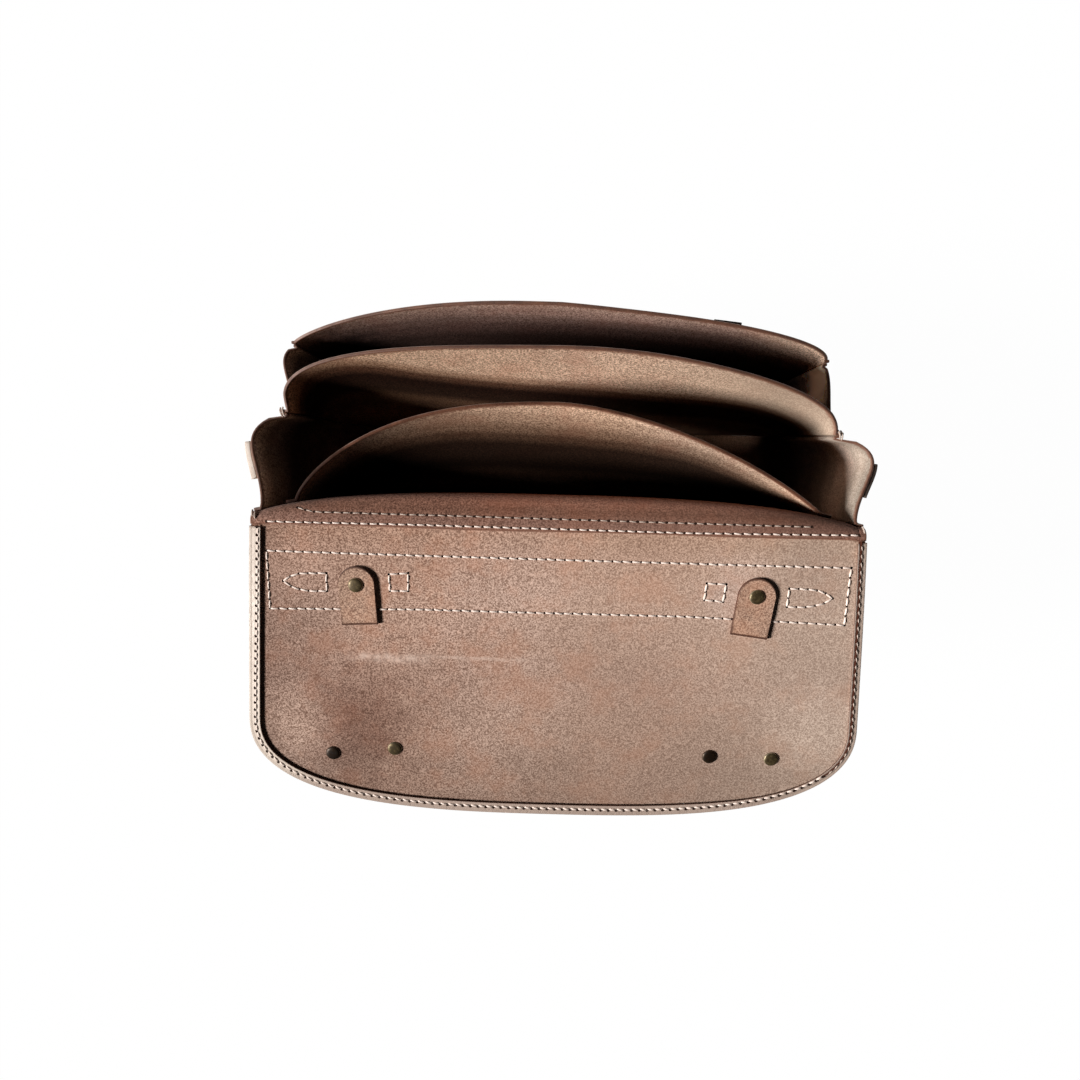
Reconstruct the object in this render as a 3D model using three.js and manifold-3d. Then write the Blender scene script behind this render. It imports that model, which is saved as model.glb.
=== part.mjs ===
import * as THREE from 'three';
import Module from 'manifold-3d';

const wasm = await Module();
wasm.setup();

// Leather thicknesses and fitting gap, mm
const panelThick = 2.2;
const gussetThick = 1.8;
const flapThick = 2.2;
const bindingThick = 1.1;
const tabThick = 2.0;
const strapThick = 2.2;
const gap = 0.3;

// Seams turn outwards by this much round every panel
const seamWidth = 6;
const cornerRadius = 39;
const rootFloor = gussetThick / 2;

// Each panel: half width at the seam root, left and right, low and high; seam line and bow in plan
const back = {
  low: { left: 197, right: 197 },
  high: { left: 199, right: 199 },
  seamTop: { left: 277, right: 277 },
  baseY: -52,
  topY: { left: -52, right: -52 },
  crestY: -35,
  bow: { left: { across: 3.0, rise: 1.2 }, right: { across: 3.0, rise: 1.2 } },
  bowGrowth: 1.5,
  cornerTop: { left: 280, right: 280 },
  crestTop: 284,
  topArch: 1,
};
const divider = {
  low: { left: 197, right: 197 },
  high: { left: 191.5, right: 192.5 },
  seamTop: { left: 246, right: 246 },
  baseY: 12,
  topY: { left: 17, right: 10 },
  crestY: 60.2,
  bow: { left: { across: 3.0, rise: 2.8 }, right: { across: 1.9, rise: 1.9 } },
  bowGrowth: 1.5,
  cornerTop: { left: 249, right: 249 },
  crestTop: 280,
  topArch: 1.4,
};
const front = {
  low: { left: 197, right: 195 },
  high: { left: 194.5, right: 187.5 },
  seamTop: { left: 217, right: 217 },
  baseY: 52,
  topY: { left: 67.5, right: 62 },
  crestY: 92.6,
  bow: { left: { across: 2.6, rise: 1.2 }, right: { across: 1.2, rise: 2.0 } },
  bowGrowth: 1.5,
  cornerTop: { left: 220, right: 220 },
  crestTop: 253,
  topArch: 1,
};
// The lowest part of every panel stays flat
const flatShare = 0.08;
// The divider's shoulders stand inside the front gusset below the seam's end and are free above it
const shoulderInset = { sewn: 3.6, left: 0, right: -1.5 };

// Pocket sheet sewn to the back panel's inner face
const pocket = {
  half: { left: 177, right: 178 },
  hem: 7,
  bottom: 72,
  endTop: 270,
  crestTop: 285,
  crestGap: 58,
  bow: { left: { across: 2.3, rise: 1.4 }, right: { across: 1.6, rise: 1.05 } },
};

// Rolled top of the back panel, which lies on the flap
const rollRadius = { middle: 9, end: 4 };
const rollCutY = -59;
const rollEndDrop = 2.4;

// Flap in its open pose: width flares, then rounded free corners
const flap = {
  halfAtFold: 203.5,
  flare: 0.062,
  sideEndY: -195,
  freeEndY: -265.8,
  freeEndTilt: 0.014,
  cornerAcross: 3.0,
  cornerRise: 2.4,
  droop: 16,
  droopPower: 1.4,
  foldY: -47,
};
const bindingLip = 7.5;
const bindingStartY = -61;

// Tabs and rivets on the flap: plan position, lean in degrees
const tabSize = { width: 25, length: 41 };
const tabs = [
  { name: 'left', x: -131.5, y: -107, lean: -2.4 },
  { name: 'right', x: 136.2, y: -106.5, lean: 6.7 },
];
const rivetSize = { capRadius: 4.6, capRise: 1.9, stemRadius: 2.0, washerRadius: 4.0 };
const tabRivets = [
  { name: 'left', x: -132.4, y: -99.6 },
  { name: 'right', x: 137.9, y: -99.4 },
];
const lowerRivets = [
  { name: 'left_outer', x: -153.1, y: -224.9 },
  { name: 'left_inner', x: -108.3, y: -219.8 },
  { name: 'right_inner', x: 113.9, y: -217.1 },
  { name: 'right_outer', x: 157.2, y: -217.2 },
];

// Leather on the flap's outer side
const band = { left: -193, right: 197, nearY: -75, farY: -120 };
const strips = [
  { name: 'left', tipX: -186, squareX: -93 },
  { name: 'right', tipX: 189, squareX: 98 },
];
const stripSize = { y: -97.5, width: 18, tip: 13 };
const keeperSize = { width: 14, margin: 9, loopHalf: 13, loopRise: 6.5 };

// Straps on the outside of the rear gusset and of the front panel
const sideStraps = [
  { name: 'left', side: -1, from: 0.33, to: 0.70, length: 78, thick: 4.4 },
  { name: 'right', side: 1, from: 0.33, to: 0.70, length: 78, thick: 2.4 },
];
const frontStraps = [
  { name: 'left', x: -111, half: 9.5, over: -6, length: 130 },
  { name: 'right', x: 115.5, half: 9.5, over: 1.8, length: 130 },
];

const clamp01 = (value) => Math.min(1, Math.max(0, value));
const mix = (from, to, share) => from + (to - from) * share;
const sideName = (x) => (x < 0 ? 'left' : 'right');

// Closed solid of even thickness round a grid of mid-surface points
function sheetMesh(grid, thickness) {
  const rows = grid.length;
  const columns = grid[0].length;
  const faceNormals = [];
  for (let row = 0; row < rows - 1; row++) {
    const line = [];
    for (let column = 0; column < columns - 1; column++) {
      const diagonalA = grid[row + 1][column + 1].clone().sub(grid[row][column]);
      const diagonalB = grid[row + 1][column].clone().sub(grid[row][column + 1]);
      line.push(diagonalA.cross(diagonalB).normalize());
    }
    faceNormals.push(line);
  }
  const sides = [[], []];
  for (let row = 0; row < rows; row++) {
    for (let column = 0; column < columns; column++) {
      const near = [];
      for (const dr of [-1, 0]) {
        for (const dc of [-1, 0]) {
          const found = faceNormals[row + dr]?.[column + dc];
          if (found) near.push(found);
        }
      }
      const normal = new THREE.Vector3();
      near.forEach((one) => normal.add(one));
      normal.normalize();
      const lean = Math.max(0.65, Math.min(...near.map((one) => one.dot(normal))));
      const reach = thickness / 2 / lean;
      sides[0].push(grid[row][column].clone().addScaledVector(normal, reach));
      sides[1].push(grid[row][column].clone().addScaledVector(normal, -reach));
    }
  }
  const points = [...sides[0], ...sides[1]];
  const under = rows * columns;
  const at = (row, column) => row * columns + column;
  const triangles = [];
  const quad = (a, b, c, d) => triangles.push(a, b, c, a, c, d);
  for (let row = 0; row < rows - 1; row++) {
    for (let column = 0; column < columns - 1; column++) {
      const a = at(row, column);
      const b = at(row, column + 1);
      const c = at(row + 1, column + 1);
      const d = at(row + 1, column);
      quad(a, d, c, b);
      quad(a + under, b + under, c + under, d + under);
    }
  }
  const rim = [];
  for (let column = 0; column < columns - 1; column++) rim.push(at(0, column));
  for (let row = 0; row < rows - 1; row++) rim.push(at(row, columns - 1));
  for (let column = columns - 1; column > 0; column--) rim.push(at(rows - 1, column));
  for (let row = rows - 1; row > 0; row--) rim.push(at(row, 0));
  rim.forEach((a, place) => {
    const b = rim[(place + 1) % rim.length];
    quad(a, b, b + under, a + under);
  });
  return outward({ points, triangles });
}

// Turn every face outwards
function outward(solid) {
  let volume = 0;
  const { points, triangles } = solid;
  for (let place = 0; place < triangles.length; place += 3) {
    const [a, b, c] = [0, 1, 2].map((step) => points[triangles[place + step]]);
    volume += a.dot(b.clone().cross(c));
  }
  if (volume < 0) {
    for (let place = 0; place < triangles.length; place += 3) {
      const kept = triangles[place + 1];
      triangles[place + 1] = triangles[place + 2];
      triangles[place + 2] = kept;
    }
  }
  return solid;
}

// Solid round a ring of sections, each a closed loop of points
function sweepMesh(sections) {
  const count = sections[0].length;
  const points = sections.flat();
  const triangles = [];
  for (let row = 0; row < sections.length - 1; row++) {
    for (let place = 0; place < count; place++) {
      const next = (place + 1) % count;
      const a = row * count + place;
      const b = row * count + next;
      triangles.push(a, b, b + count, a, b + count, a + count);
    }
  }
  const flat = sections[0].map((_, place) => place);
  const last = (sections.length - 1) * count;
  const half = count / 2;
  for (let place = 0; place < half - 1; place++) {
    const [a, b, c, d] = [flat[place], flat[place + 1], flat[count - 2 - place], flat[count - 1 - place]];
    triangles.push(a, c, b, a, d, c);
    triangles.push(a + last, b + last, c + last, a + last, c + last, d + last);
  }
  return outward({ points, triangles });
}

function toManifold(solid) {
  const vertProperties = new Float32Array(solid.points.flatMap((point) => [point.x, point.y, point.z]));
  const triVerts = new Uint32Array(solid.triangles);
  return new wasm.Manifold(new wasm.Mesh({ numProp: 3, vertProperties, triVerts }));
}

function fromManifold(body) {
  const mesh = body.getMesh();
  const points = [];
  for (let place = 0; place < mesh.vertProperties.length; place += mesh.numProp) {
    points.push(new THREE.Vector3().fromArray(mesh.vertProperties, place));
  }
  return { points, triangles: Array.from(mesh.triVerts) };
}

// Body of revolution about an upright line from a radius and height profile closed on the axis
function lathe(profile, segments, centre, tilt) {
  const points = [new THREE.Vector3(0, 0, profile[0].z)];
  const triangles = [];
  const rings = profile.slice(1, -1);
  rings.forEach((ring) => {
    for (let step = 0; step < segments; step++) {
      const angle = (2 * Math.PI * step) / segments;
      points.push(new THREE.Vector3(ring.r * Math.cos(angle), ring.r * Math.sin(angle), ring.z));
    }
  });
  points.push(new THREE.Vector3(0, 0, profile[profile.length - 1].z));
  const top = points.length - 1;
  const at = (ring, step) => 1 + ring * segments + (step % segments);
  for (let step = 0; step < segments; step++) {
    triangles.push(0, at(0, step + 1), at(0, step));
    triangles.push(top, at(rings.length - 1, step), at(rings.length - 1, step + 1));
    for (let ring = 0; ring < rings.length - 1; ring++) {
      triangles.push(at(ring, step), at(ring, step + 1), at(ring + 1, step + 1));
      triangles.push(at(ring, step), at(ring + 1, step + 1), at(ring + 1, step));
    }
  }
  const turn = new THREE.Matrix4().makeRotationX(tilt);
  turn.setPosition(centre);
  points.forEach((point) => point.applyMatrix4(turn));
  return outward({ points, triangles });
}

// Half width of a panel at its seam root, at a height
function rootHalf(panel, side, z) {
  const start = rootFloor + cornerRadius;
  const share = clamp01((z - start) / (panel.seamTop[side] - start));
  return mix(panel.low[side], panel.high[side], share);
}

// Half width where a panel's bow begins
function bowHalf(panel, side, z) {
  const root = rootHalf(panel, side, z);
  if (panel !== divider) return root;
  const free = clamp01((z - panel.seamTop[side] + 4) / 12);
  return root - mix(shoulderInset.sewn, shoulderInset[side], free);
}

// Lower edge of a panel, with rounded corners
function bottomEdge(panel, side, x) {
  const reach = cornerRadius + seamWidth;
  const past = Math.abs(x) - (panel.low[side] - cornerRadius);
  const level = rootFloor + cornerRadius;
  if (past <= 0) return level - reach;
  return level - Math.sqrt(Math.max(0, reach * reach - past * past));
}

// How far the bow has risen at an angle from the seam: 0 at the seam, 1 in the middle
function bowShape(panel, side, angle) {
  return Math.sin(angle) ** (2 / panel.bow[side].rise);
}
function bowAcross(panel, side, angle) {
  return Math.max(0, Math.cos(angle)) ** (2 / panel.bow[side].across);
}
function angleAt(panel, side, share) {
  return Math.acos(clamp01(share) ** (panel.bow[side].across / 2));
}

// Point of a panel's mid surface: angle from the seam on one side, rise from lower edge to top edge
function panelPoint(panel, side, angle, past, rise) {
  const sign = side === 'left' ? -1 : 1;
  const lowX = past > 0 ? panel.low[side] + past : panel.low[side] * bowAcross(panel, side, angle);
  const low = bottomEdge(panel, side, lowX);
  const shape = past > 0 ? 0 : bowShape(panel, side, angle);
  const top = mix(panel.cornerTop[side], panel.crestTop, shape ** panel.topArch);
  const z = mix(low, top, rise);
  let x = rootHalf(panel, side, z) + past;
  if (past <= 0) x = bowHalf(panel, side, z) * bowAcross(panel, side, angle);
  return new THREE.Vector3(sign * x, panelY(panel, sign * x, shape, rise, z), z);
}
function panelY(panel, x, shape, rise, z) {
  const across = clamp01(0.5 + x / (panel.high.left + panel.high.right));
  const topY = mix(panel.topY.left, panel.topY.right, across * across * (3 - 2 * across));
  const seamShare = clamp01(z / panel.seamTop.left);
  const seamY = mix(panel.baseY, topY, seamShare);
  const reach = panel.crestY - topY;
  const risen = clamp01((rise - flatShare) / (1 - flatShare));
  return seamY + reach * shape * risen ** panel.bowGrowth;
}

// Depth of a panel at a place seen from the front
function panelDepth(panel, x, z) {
  const side = sideName(x);
  const half = bowHalf(panel, side, z);
  const share = Math.abs(x) / half;
  const angle = share >= 1 ? 0 : angleAt(panel, side, share);
  const shape = bowShape(panel, side, angle);
  const low = bottomEdge(panel, side, x);
  const top = mix(panel.cornerTop[side], panel.crestTop, shape ** panel.topArch);
  return panelY(panel, x, shape, clamp01((z - low) / (top - low)), z);
}

// Columns of a panel grid from the left seam edge to the right one
function panelColumns(steps) {
  const columns = [];
  columns.push({ side: 'left', angle: 0, past: seamWidth });
  columns.push({ side: 'left', angle: 0, past: seamWidth * 0.6 });
  for (let step = 0; step <= steps; step++) {
    columns.push({ side: 'left', angle: (Math.PI / 2) * (step / steps), past: 0 });
  }
  for (let step = steps - 1; step >= 0; step--) {
    columns.push({ side: 'right', angle: (Math.PI / 2) * (step / steps), past: 0 });
  }
  columns.push({ side: 'right', angle: 0, past: seamWidth * 0.6 });
  columns.push({ side: 'right', angle: 0, past: seamWidth });
  return columns;
}

function plainPanel(panel, steps, rows) {
  const grid = [];
  for (let row = 0; row <= rows; row++) {
    const rise = row / rows;
    grid.push(panelColumns(steps).map((one) => panelPoint(panel, one.side, one.angle, one.past, rise)));
  }
  return sheetMesh(grid, panelThick);
}

// Height of the rolled top's mid surface and radius of its roll at a place across
const rollShare = (x) => Math.min(1, Math.abs(x) / 205) ** 3;
const rollTop = (x) => back.crestTop - rollEndDrop * rollShare(x);
const rollBend = (x) => mix(rollRadius.middle, rollRadius.end, rollShare(x));
const rollWallY = (x) => panelDepth(back, x, rollTop(x) - rollBend(x));

function backPanel(steps, rows, bendSteps) {
  const columns = panelColumns(steps);
  const grid = [];
  for (let row = 0; row <= rows + bendSteps + 2; row++) grid.push([]);
  columns.forEach((one) => {
    const foot = panelPoint(back, one.side, one.angle, one.past, 0);
    const head = panelPoint(back, one.side, one.angle, one.past, 1);
    const bend = rollBend(head.x);
    const wallTop = rollTop(head.x) - bend;
    for (let row = 0; row <= rows; row++) {
      const rise = (mix(foot.z, wallTop, row / rows) - foot.z) / (head.z - foot.z);
      grid[row].push(panelPoint(back, one.side, one.angle, one.past, rise));
    }
    const start = grid[rows][grid[rows].length - 1];
    for (let step = 1; step <= bendSteps; step++) {
      const turn = (Math.PI / 2) * (step / bendSteps);
      const y = start.y - bend * (1 - Math.cos(turn));
      grid[rows + step].push(new THREE.Vector3(start.x, y, start.z + bend * Math.sin(turn)));
    }
    const top = start.z + bend;
    for (const share of [0.5, 1]) {
      const y = mix(start.y - bend, Math.min(rollCutY, start.y - bend - 2), share);
      grid[rows + bendSteps + (share === 1 ? 2 : 1)].push(new THREE.Vector3(start.x, y, top));
    }
  });
  return sheetMesh(grid, panelThick);
}

// Pocket sheet: follows the back panel at its hem and gapes at the top
function pocketPoint(side, angle, past, rise) {
  const sign = side === 'left' ? -1 : 1;
  const across = Math.max(0, Math.cos(angle)) ** (2 / pocket.bow[side].across);
  const shape = past > 0 ? 0 : Math.sin(angle) ** (2 / pocket.bow[side].rise);
  const x = sign * (pocket.half[side] * across + past);
  const z = mix(pocket.bottom, mix(pocket.endTop, pocket.crestTop, shape), rise);
  const wallY = panelDepth(back, x, Math.min(z, 272)) + panelThick + gap;
  const gape = pocket.crestGap * shape * clamp01((rise - 0.06) / 0.94) ** 1.4;
  return new THREE.Vector3(x, wallY + gape + 0.35 * shape, z);
}
function pocketPanel(steps, rows) {
  const columns = panelColumns(steps).map((one) => ({ ...one, past: (one.past / seamWidth) * pocket.hem }));
  const grid = [];
  for (let row = 0; row <= rows; row++) {
    grid.push(columns.map((one) => pocketPoint(one.side, one.angle, one.past, row / rows)));
  }
  return sheetMesh(grid, panelThick);
}

// Stations of a gusset's run: down one side, round the bottom, up the other
const gussetRuns = [
  { part: 'side', side: 'left', steps: 6 },
  { part: 'corner', side: 'left', steps: 5 },
  { part: 'floor', side: 'right', steps: 4 },
  { part: 'corner', side: 'right', steps: 5 },
  { part: 'side', side: 'right', steps: 6 },
];
function seamRoot(panel, part, side, share, endTop) {
  const sign = side === 'left' ? -1 : 1;
  const low = panel.low[side];
  const level = rootFloor + cornerRadius;
  if (part === 'side') {
    const z = mix(endTop, level, share);
    return { x: sign * rootHalf(panel, side, z), z, outX: sign, outZ: 0 };
  }
  if (part === 'corner') {
    const turn = (Math.PI / 2) * share;
    const outX = sign * Math.cos(turn);
    const outZ = -Math.sin(turn);
    const middleX = sign * (low - cornerRadius);
    return { x: middleX + outX * cornerRadius, z: level + outZ * cornerRadius, outX, outZ };
  }
  const from = -(panel.low.left - cornerRadius);
  return { x: mix(from, panel.low.right - cornerRadius, share), z: rootFloor, outX: 0, outZ: -1 };
}

// Bellows between two panels: rows across, one for each bend of its section
const gussetRear = {
  near: back,
  far: divider,
  nearTop: { left: 276, right: 276 },
  farTop: { left: 245, right: 245 },
  bulge: { left: 15.5, right: 22 },
  skew: 2.4,
};
const gussetFront = {
  near: divider,
  far: front,
  nearTop: { left: 235, right: 235 },
  farTop: { left: 216, right: 216 },
  bulge: { left: 3, right: 3 },
  skew: 1.4,
};
const webShares = [0.14, 0.3, 0.46, 0.62, 0.75, 0.86, 0.94];
function gussetSeams(gusset, part, side, share) {
  const near = seamRoot(gusset.near, part, side, share, gusset.nearTop[side]);
  const far = seamRoot(gusset.far, part, side, share, gusset.farTop[side]);
  const stand = panelThick / 2 + gussetThick / 2 + gap;
  const lay = (seam, panel, away, out) => {
    const x = seam.x + seam.outX * out;
    const z = seam.z + seam.outZ * out;
    return new THREE.Vector3(x, panelDepth(panel, x, z) + away * stand, z);
  };
  return { near, far, lay };
}
function gussetWeb(gusset, part, side, share, across) {
  const { near, far, lay } = gussetSeams(gusset, part, side, share);
  const a = lay(near, gusset.near, 1, 0);
  const b = lay(far, gusset.far, -1, 0);
  const web = a.clone().lerp(b, across);
  let height = 0;
  if (part === 'side') height = 1 - share;
  const full = Math.sin(Math.PI * across ** gusset.skew) ** 0.6;
  const bulge = gusset.bulge[side] * height ** 1.3 * full;
  web.x += near.outX * bulge;
  web.z += near.outZ * bulge;
  return web;
}
function gussetLine(gusset, part, side, share) {
  const { near, far, lay } = gussetSeams(gusset, part, side, share);
  const bend = 1.5;
  const line = [lay(near, gusset.near, 1, seamWidth), lay(near, gusset.near, 1, bend)];
  const nearRoot = lay(near, gusset.near, 1, 0);
  nearRoot.y += bend;
  line.push(nearRoot);
  webShares.forEach((across) => line.push(gussetWeb(gusset, part, side, share, across)));
  const farRoot = lay(far, gusset.far, -1, 0);
  farRoot.y -= bend;
  line.push(farRoot, lay(far, gusset.far, -1, bend), lay(far, gusset.far, -1, seamWidth));
  return line;
}
function gussetBody(gusset) {
  const grid = [];
  gussetRuns.forEach((run, place) => {
    for (let step = place === 0 ? 0 : 1; step <= run.steps; step++) {
      let share = step / run.steps;
      if (run.side === 'right' && run.part !== 'floor') share = 1 - share;
      grid.push(gussetLine(gusset, run.part, run.side, share));
    }
  });
  return sheetMesh(grid, gussetThick);
}

// Strap lying on the outside of the rear gusset's web
function sideStrap(strap) {
  const side = strap.side < 0 ? 'left' : 'right';
  const run = gussetRear.nearTop[side] - rootFloor - cornerRadius;
  const stand = gussetThick / 2 + strap.thick / 2 + gap + 0.15;
  const grid = [];
  for (let row = 0; row <= 5; row++) {
    const share = (strap.length / run) * (row / 5) + 0.002;
    const line = [];
    for (let column = 0; column <= 6; column++) {
      const across = mix(strap.from, strap.to, column / 6);
      const at = (s, w) => gussetWeb(gussetRear, 'side', side, s, w);
      const here = at(share, across);
      const down = at(share + 0.02, across).sub(here);
      const over = at(share, across + 0.02).sub(here);
      const normal = down.cross(over).normalize();
      if (normal.x * strap.side < 0) normal.negate();
      line.push(here.addScaledVector(normal, stand));
    }
    grid.push(line);
  }
  return sheetMesh(grid, strap.thick);
}

// Strap lying on the outside of the front panel
function frontStrap(strap) {
  const stand = panelThick / 2 + strapThick / 2 + gap + 0.6;
  const side = sideName(strap.x);
  const half = bowHalf(front, side, 240);
  const shape = bowShape(front, side, angleAt(front, side, Math.abs(strap.x) / half));
  const top = mix(front.cornerTop[side], front.crestTop, shape) + strap.over;
  const depth = (x, z) => panelDepth(front, x, Math.min(z, top - strap.over - 4));
  const grid = [];
  for (let row = 0; row <= 6; row++) {
    const z = top - strap.length * (row / 6);
    const line = [];
    for (let column = 0; column <= 4; column++) {
      const x = strap.x + mix(-strap.half, strap.half, column / 4);
      const slopeX = depth(x - 1, z) - depth(x + 1, z);
      const slopeZ = depth(x, z - 1) - depth(x, z + 1);
      const normal = new THREE.Vector3(slopeX, 2, slopeZ);
      normal.normalize();
      line.push(new THREE.Vector3(x, depth(x, z), z).addScaledVector(normal, stand));
    }
    grid.push(line);
  }
  return sheetMesh(grid, strapThick);
}

// Flap mid surface
const flapUnder = panelThick / 2 + flapThick / 2 + gap + 0.05;
function flapHeight(x, y) {
  const along = clamp01((flap.foldY - y) / (flap.foldY - flap.freeEndY));
  return rollTop(x) - flapUnder - flap.droop * along ** flap.droopPower;
}
const flapHalf = (y) => flap.halfAtFold + flap.flare * (flap.foldY - y);
function flapEdge(sign, angle) {
  const across = Math.max(0, Math.cos(angle)) ** (2 / flap.cornerAcross);
  const level = mix(flap.sideEndY, flap.freeEndY, Math.sin(angle) ** (2 / flap.cornerRise));
  return { across, y: level + flap.freeEndTilt * sign * across * flap.halfAtFold };
}
function flapPoint(sign, angle, share) {
  const edge = flapEdge(sign, angle);
  const startX = sign * edge.across * flap.halfAtFold;
  const startY = rollWallY(startX) - rollBend(startX) - 1.5;
  const y = mix(startY, edge.y, share);
  const x = sign * edge.across * flapHalf(y);
  return new THREE.Vector3(x, y, flapHeight(x, y));
}
function flapGrid(steps, rows) {
  const grid = [];
  for (let row = 0; row <= rows; row++) {
    const line = [];
    for (let step = 0; step <= 2 * steps; step++) {
      const sign = step < steps ? -1 : 1;
      const angle = (Math.PI / 2) * (step <= steps ? step / steps : 2 - step / steps);
      line.push(flapPoint(sign, angle, row / rows));
    }
    grid.push(line);
  }
  return grid;
}

// Line of the flap's edge from the fold on the left, round the free corners, to the fold on the right
function flapRim(steps) {
  const rim = [];
  const sideSteps = 7;
  for (let step = 0; step < sideSteps; step++) {
    const y = mix(bindingStartY, flap.sideEndY, step / sideSteps);
    rim.push(new THREE.Vector3(-flapHalf(y), y, 0));
  }
  for (let step = 0; step <= 2 * steps; step++) {
    const sign = step < steps ? -1 : 1;
    const edge = flapEdge(sign, (Math.PI / 2) * (step <= steps ? step / steps : 2 - step / steps));
    rim.push(new THREE.Vector3(sign * edge.across * flapHalf(edge.y), edge.y, 0));
  }
  for (let step = sideSteps - 1; step >= 0; step--) {
    const y = mix(bindingStartY, flap.sideEndY, step / sideSteps);
    rim.push(new THREE.Vector3(flapHalf(y), y, 0));
  }
  return rim;
}
function bindingBody(steps) {
  const rim = flapRim(steps);
  const inner = flapThick / 2 + gap;
  const outer = inner + bindingThick;
  const sections = rim.map((point, place) => {
    const before = rim[Math.max(0, place - 1)];
    const after = rim[Math.min(rim.length - 1, place + 1)];
    const along = after.clone().sub(before).normalize();
    const inward = new THREE.Vector3(-along.y, along.x, 0);
    const corner = (inset, lift) => {
      const x = point.x + inward.x * inset;
      const y = point.y + inward.y * inset;
      return new THREE.Vector3(x, y, flapHeight(x, y) + lift);
    };
    const edge = -gap;
    const skin = -gap - bindingThick;
    return [
      corner(bindingLip, outer), corner(skin + 0.7, outer), corner(skin, outer - 0.7),
      corner(skin, -outer + 0.7), corner(skin + 0.7, -outer), corner(bindingLip, -outer),
      corner(bindingLip, -inner), corner(edge + 0.4, -inner), corner(edge, -inner + 0.4),
      corner(edge, inner - 0.4), corner(edge + 0.4, inner), corner(bindingLip, inner),
    ];
  });
  return sweepMesh(sections);
}

// Flat leather piece on one face of the flap, given by rows of plan points
function onFlap(plan, lift, thickness) {
  const grid = plan.map((line) => line.map((one) => {
    const z = flapHeight(one.x, one.y) + lift + (one.rise || 0);
    return new THREE.Vector3(one.x, one.y, z);
  }));
  return sheetMesh(grid, thickness);
}
const onTop = (thickness) => flapThick / 2 + gap + thickness / 2;

function tabBody(tab) {
  const lean = (tab.lean * Math.PI) / 180;
  const radius = tabSize.width / 2;
  const plan = [];
  for (let row = 0; row <= 3; row++) {
    const line = [];
    for (let column = 0; column <= 8; column++) {
      const angle = Math.PI * (column / 8);
      const across = -radius * Math.cos(angle);
      const crown = tabSize.length / 2 - radius + radius * Math.sin(angle);
      const along = mix(-tabSize.length / 2, crown, row / 3);
      const x = tab.x + across * Math.cos(lean) + along * Math.sin(lean);
      const y = tab.y - across * Math.sin(lean) + along * Math.cos(lean);
      line.push({ x, y });
    }
    plan.push(line);
  }
  return onFlap(plan, onTop(tabThick), tabThick);
}
function bandBody() {
  const plan = [];
  for (const share of [0, 0.5, 1]) {
    const y = mix(band.nearY, band.farY, share);
    const line = [];
    for (let column = 0; column <= 12; column++) line.push({ x: mix(band.left, band.right, column / 12), y });
    plan.push(line);
  }
  return onFlap(plan, -onTop(strapThick), strapThick);
}
const stripLift = -(flapThick / 2 + gap + strapThick + gap + strapThick / 2);
function stripBody(strip) {
  const sign = Math.sign(strip.tipX);
  const plan = [];
  for (const share of [-1, -0.5, 0, 0.5, 1]) {
    const y = stripSize.y + (share * stripSize.width) / 2;
    const tipX = strip.tipX - sign * stripSize.tip * Math.abs(share);
    const line = [];
    for (let column = 0; column <= 6; column++) line.push({ x: mix(strip.squareX, tipX, column / 6), y });
    plan.push(line);
  }
  return onFlap(plan, stripLift, strapThick);
}
function keeperBody(first, second) {
  const from = first.x < second.x ? first : second;
  const to = first.x < second.x ? second : first;
  const middle = (from.x + to.x) / 2;
  const tilt = (to.y - from.y) / (to.x - from.x);
  const half = keeperSize.loopHalf;
  const stops = [
    { x: from.x - keeperSize.margin, rise: 0 },
    { x: middle - half - 3, rise: 0 },
    { x: middle - half, rise: 0.15 },
    { x: middle - half + 3, rise: 0.9 },
    { x: middle - half + 6, rise: 1 },
    { x: middle + half - 6, rise: 1 },
    { x: middle + half - 3, rise: 0.9 },
    { x: middle + half, rise: 0.15 },
    { x: middle + half + 3, rise: 0 },
    { x: to.x + keeperSize.margin, rise: 0 },
  ];
  const plan = [-1, 1].map((share) => stops.map((stop) => ({
    x: stop.x,
    y: from.y + (stop.x - from.x) * tilt + (share * keeperSize.width) / 2,
    rise: -keeperSize.loopRise * stop.rise,
  })));
  return onFlap(plan, -onTop(strapThick), strapThick);
}

// Rivet: domed cap on the suede side, stem through the layers, flat washer outside
function flapTilt(y) {
  const step = 0.5;
  return Math.atan((flapHeight(0, y + step) - flapHeight(0, y - step)) / (2 * step));
}
function rivetBody(rivet, above, below) {
  const { capRadius, capRise, stemRadius, washerRadius } = rivetSize;
  const seat = flapThick / 2 + gap + above;
  const foot = -(flapThick / 2 + gap + below);
  const profile = [
    { r: 0, z: foot - 1.1 },
    { r: washerRadius * 0.8, z: foot - 1.1 },
    { r: washerRadius, z: foot - 0.6 },
    { r: washerRadius, z: foot },
    { r: stemRadius, z: foot },
    { r: stemRadius, z: seat },
    { r: capRadius, z: seat },
    { r: capRadius, z: seat + 0.5 },
    { r: capRadius * 0.86, z: seat + capRise * 0.72 },
    { r: capRadius * 0.5, z: seat + capRise * 0.95 },
    { r: 0, z: seat + capRise },
  ];
  const centre = new THREE.Vector3(rivet.x, rivet.y, flapHeight(rivet.x, rivet.y));
  return lathe(profile, 12, centre, flapTilt(rivet.y));
}
function withHoles(solid, rivets) {
  let body = toManifold(solid);
  const radius = rivetSize.stemRadius + gap;
  const profile = [{ r: 0, z: -14 }, { r: radius, z: -14 }, { r: radius, z: 14 }, { r: 0, z: 14 }];
  rivets.forEach((rivet) => {
    const centre = new THREE.Vector3(rivet.x, rivet.y, flapHeight(rivet.x, rivet.y));
    body = body.subtract(toManifold(lathe(profile, 10, centre, flapTilt(rivet.y))));
  });
  return fromManifold(body);
}

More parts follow.
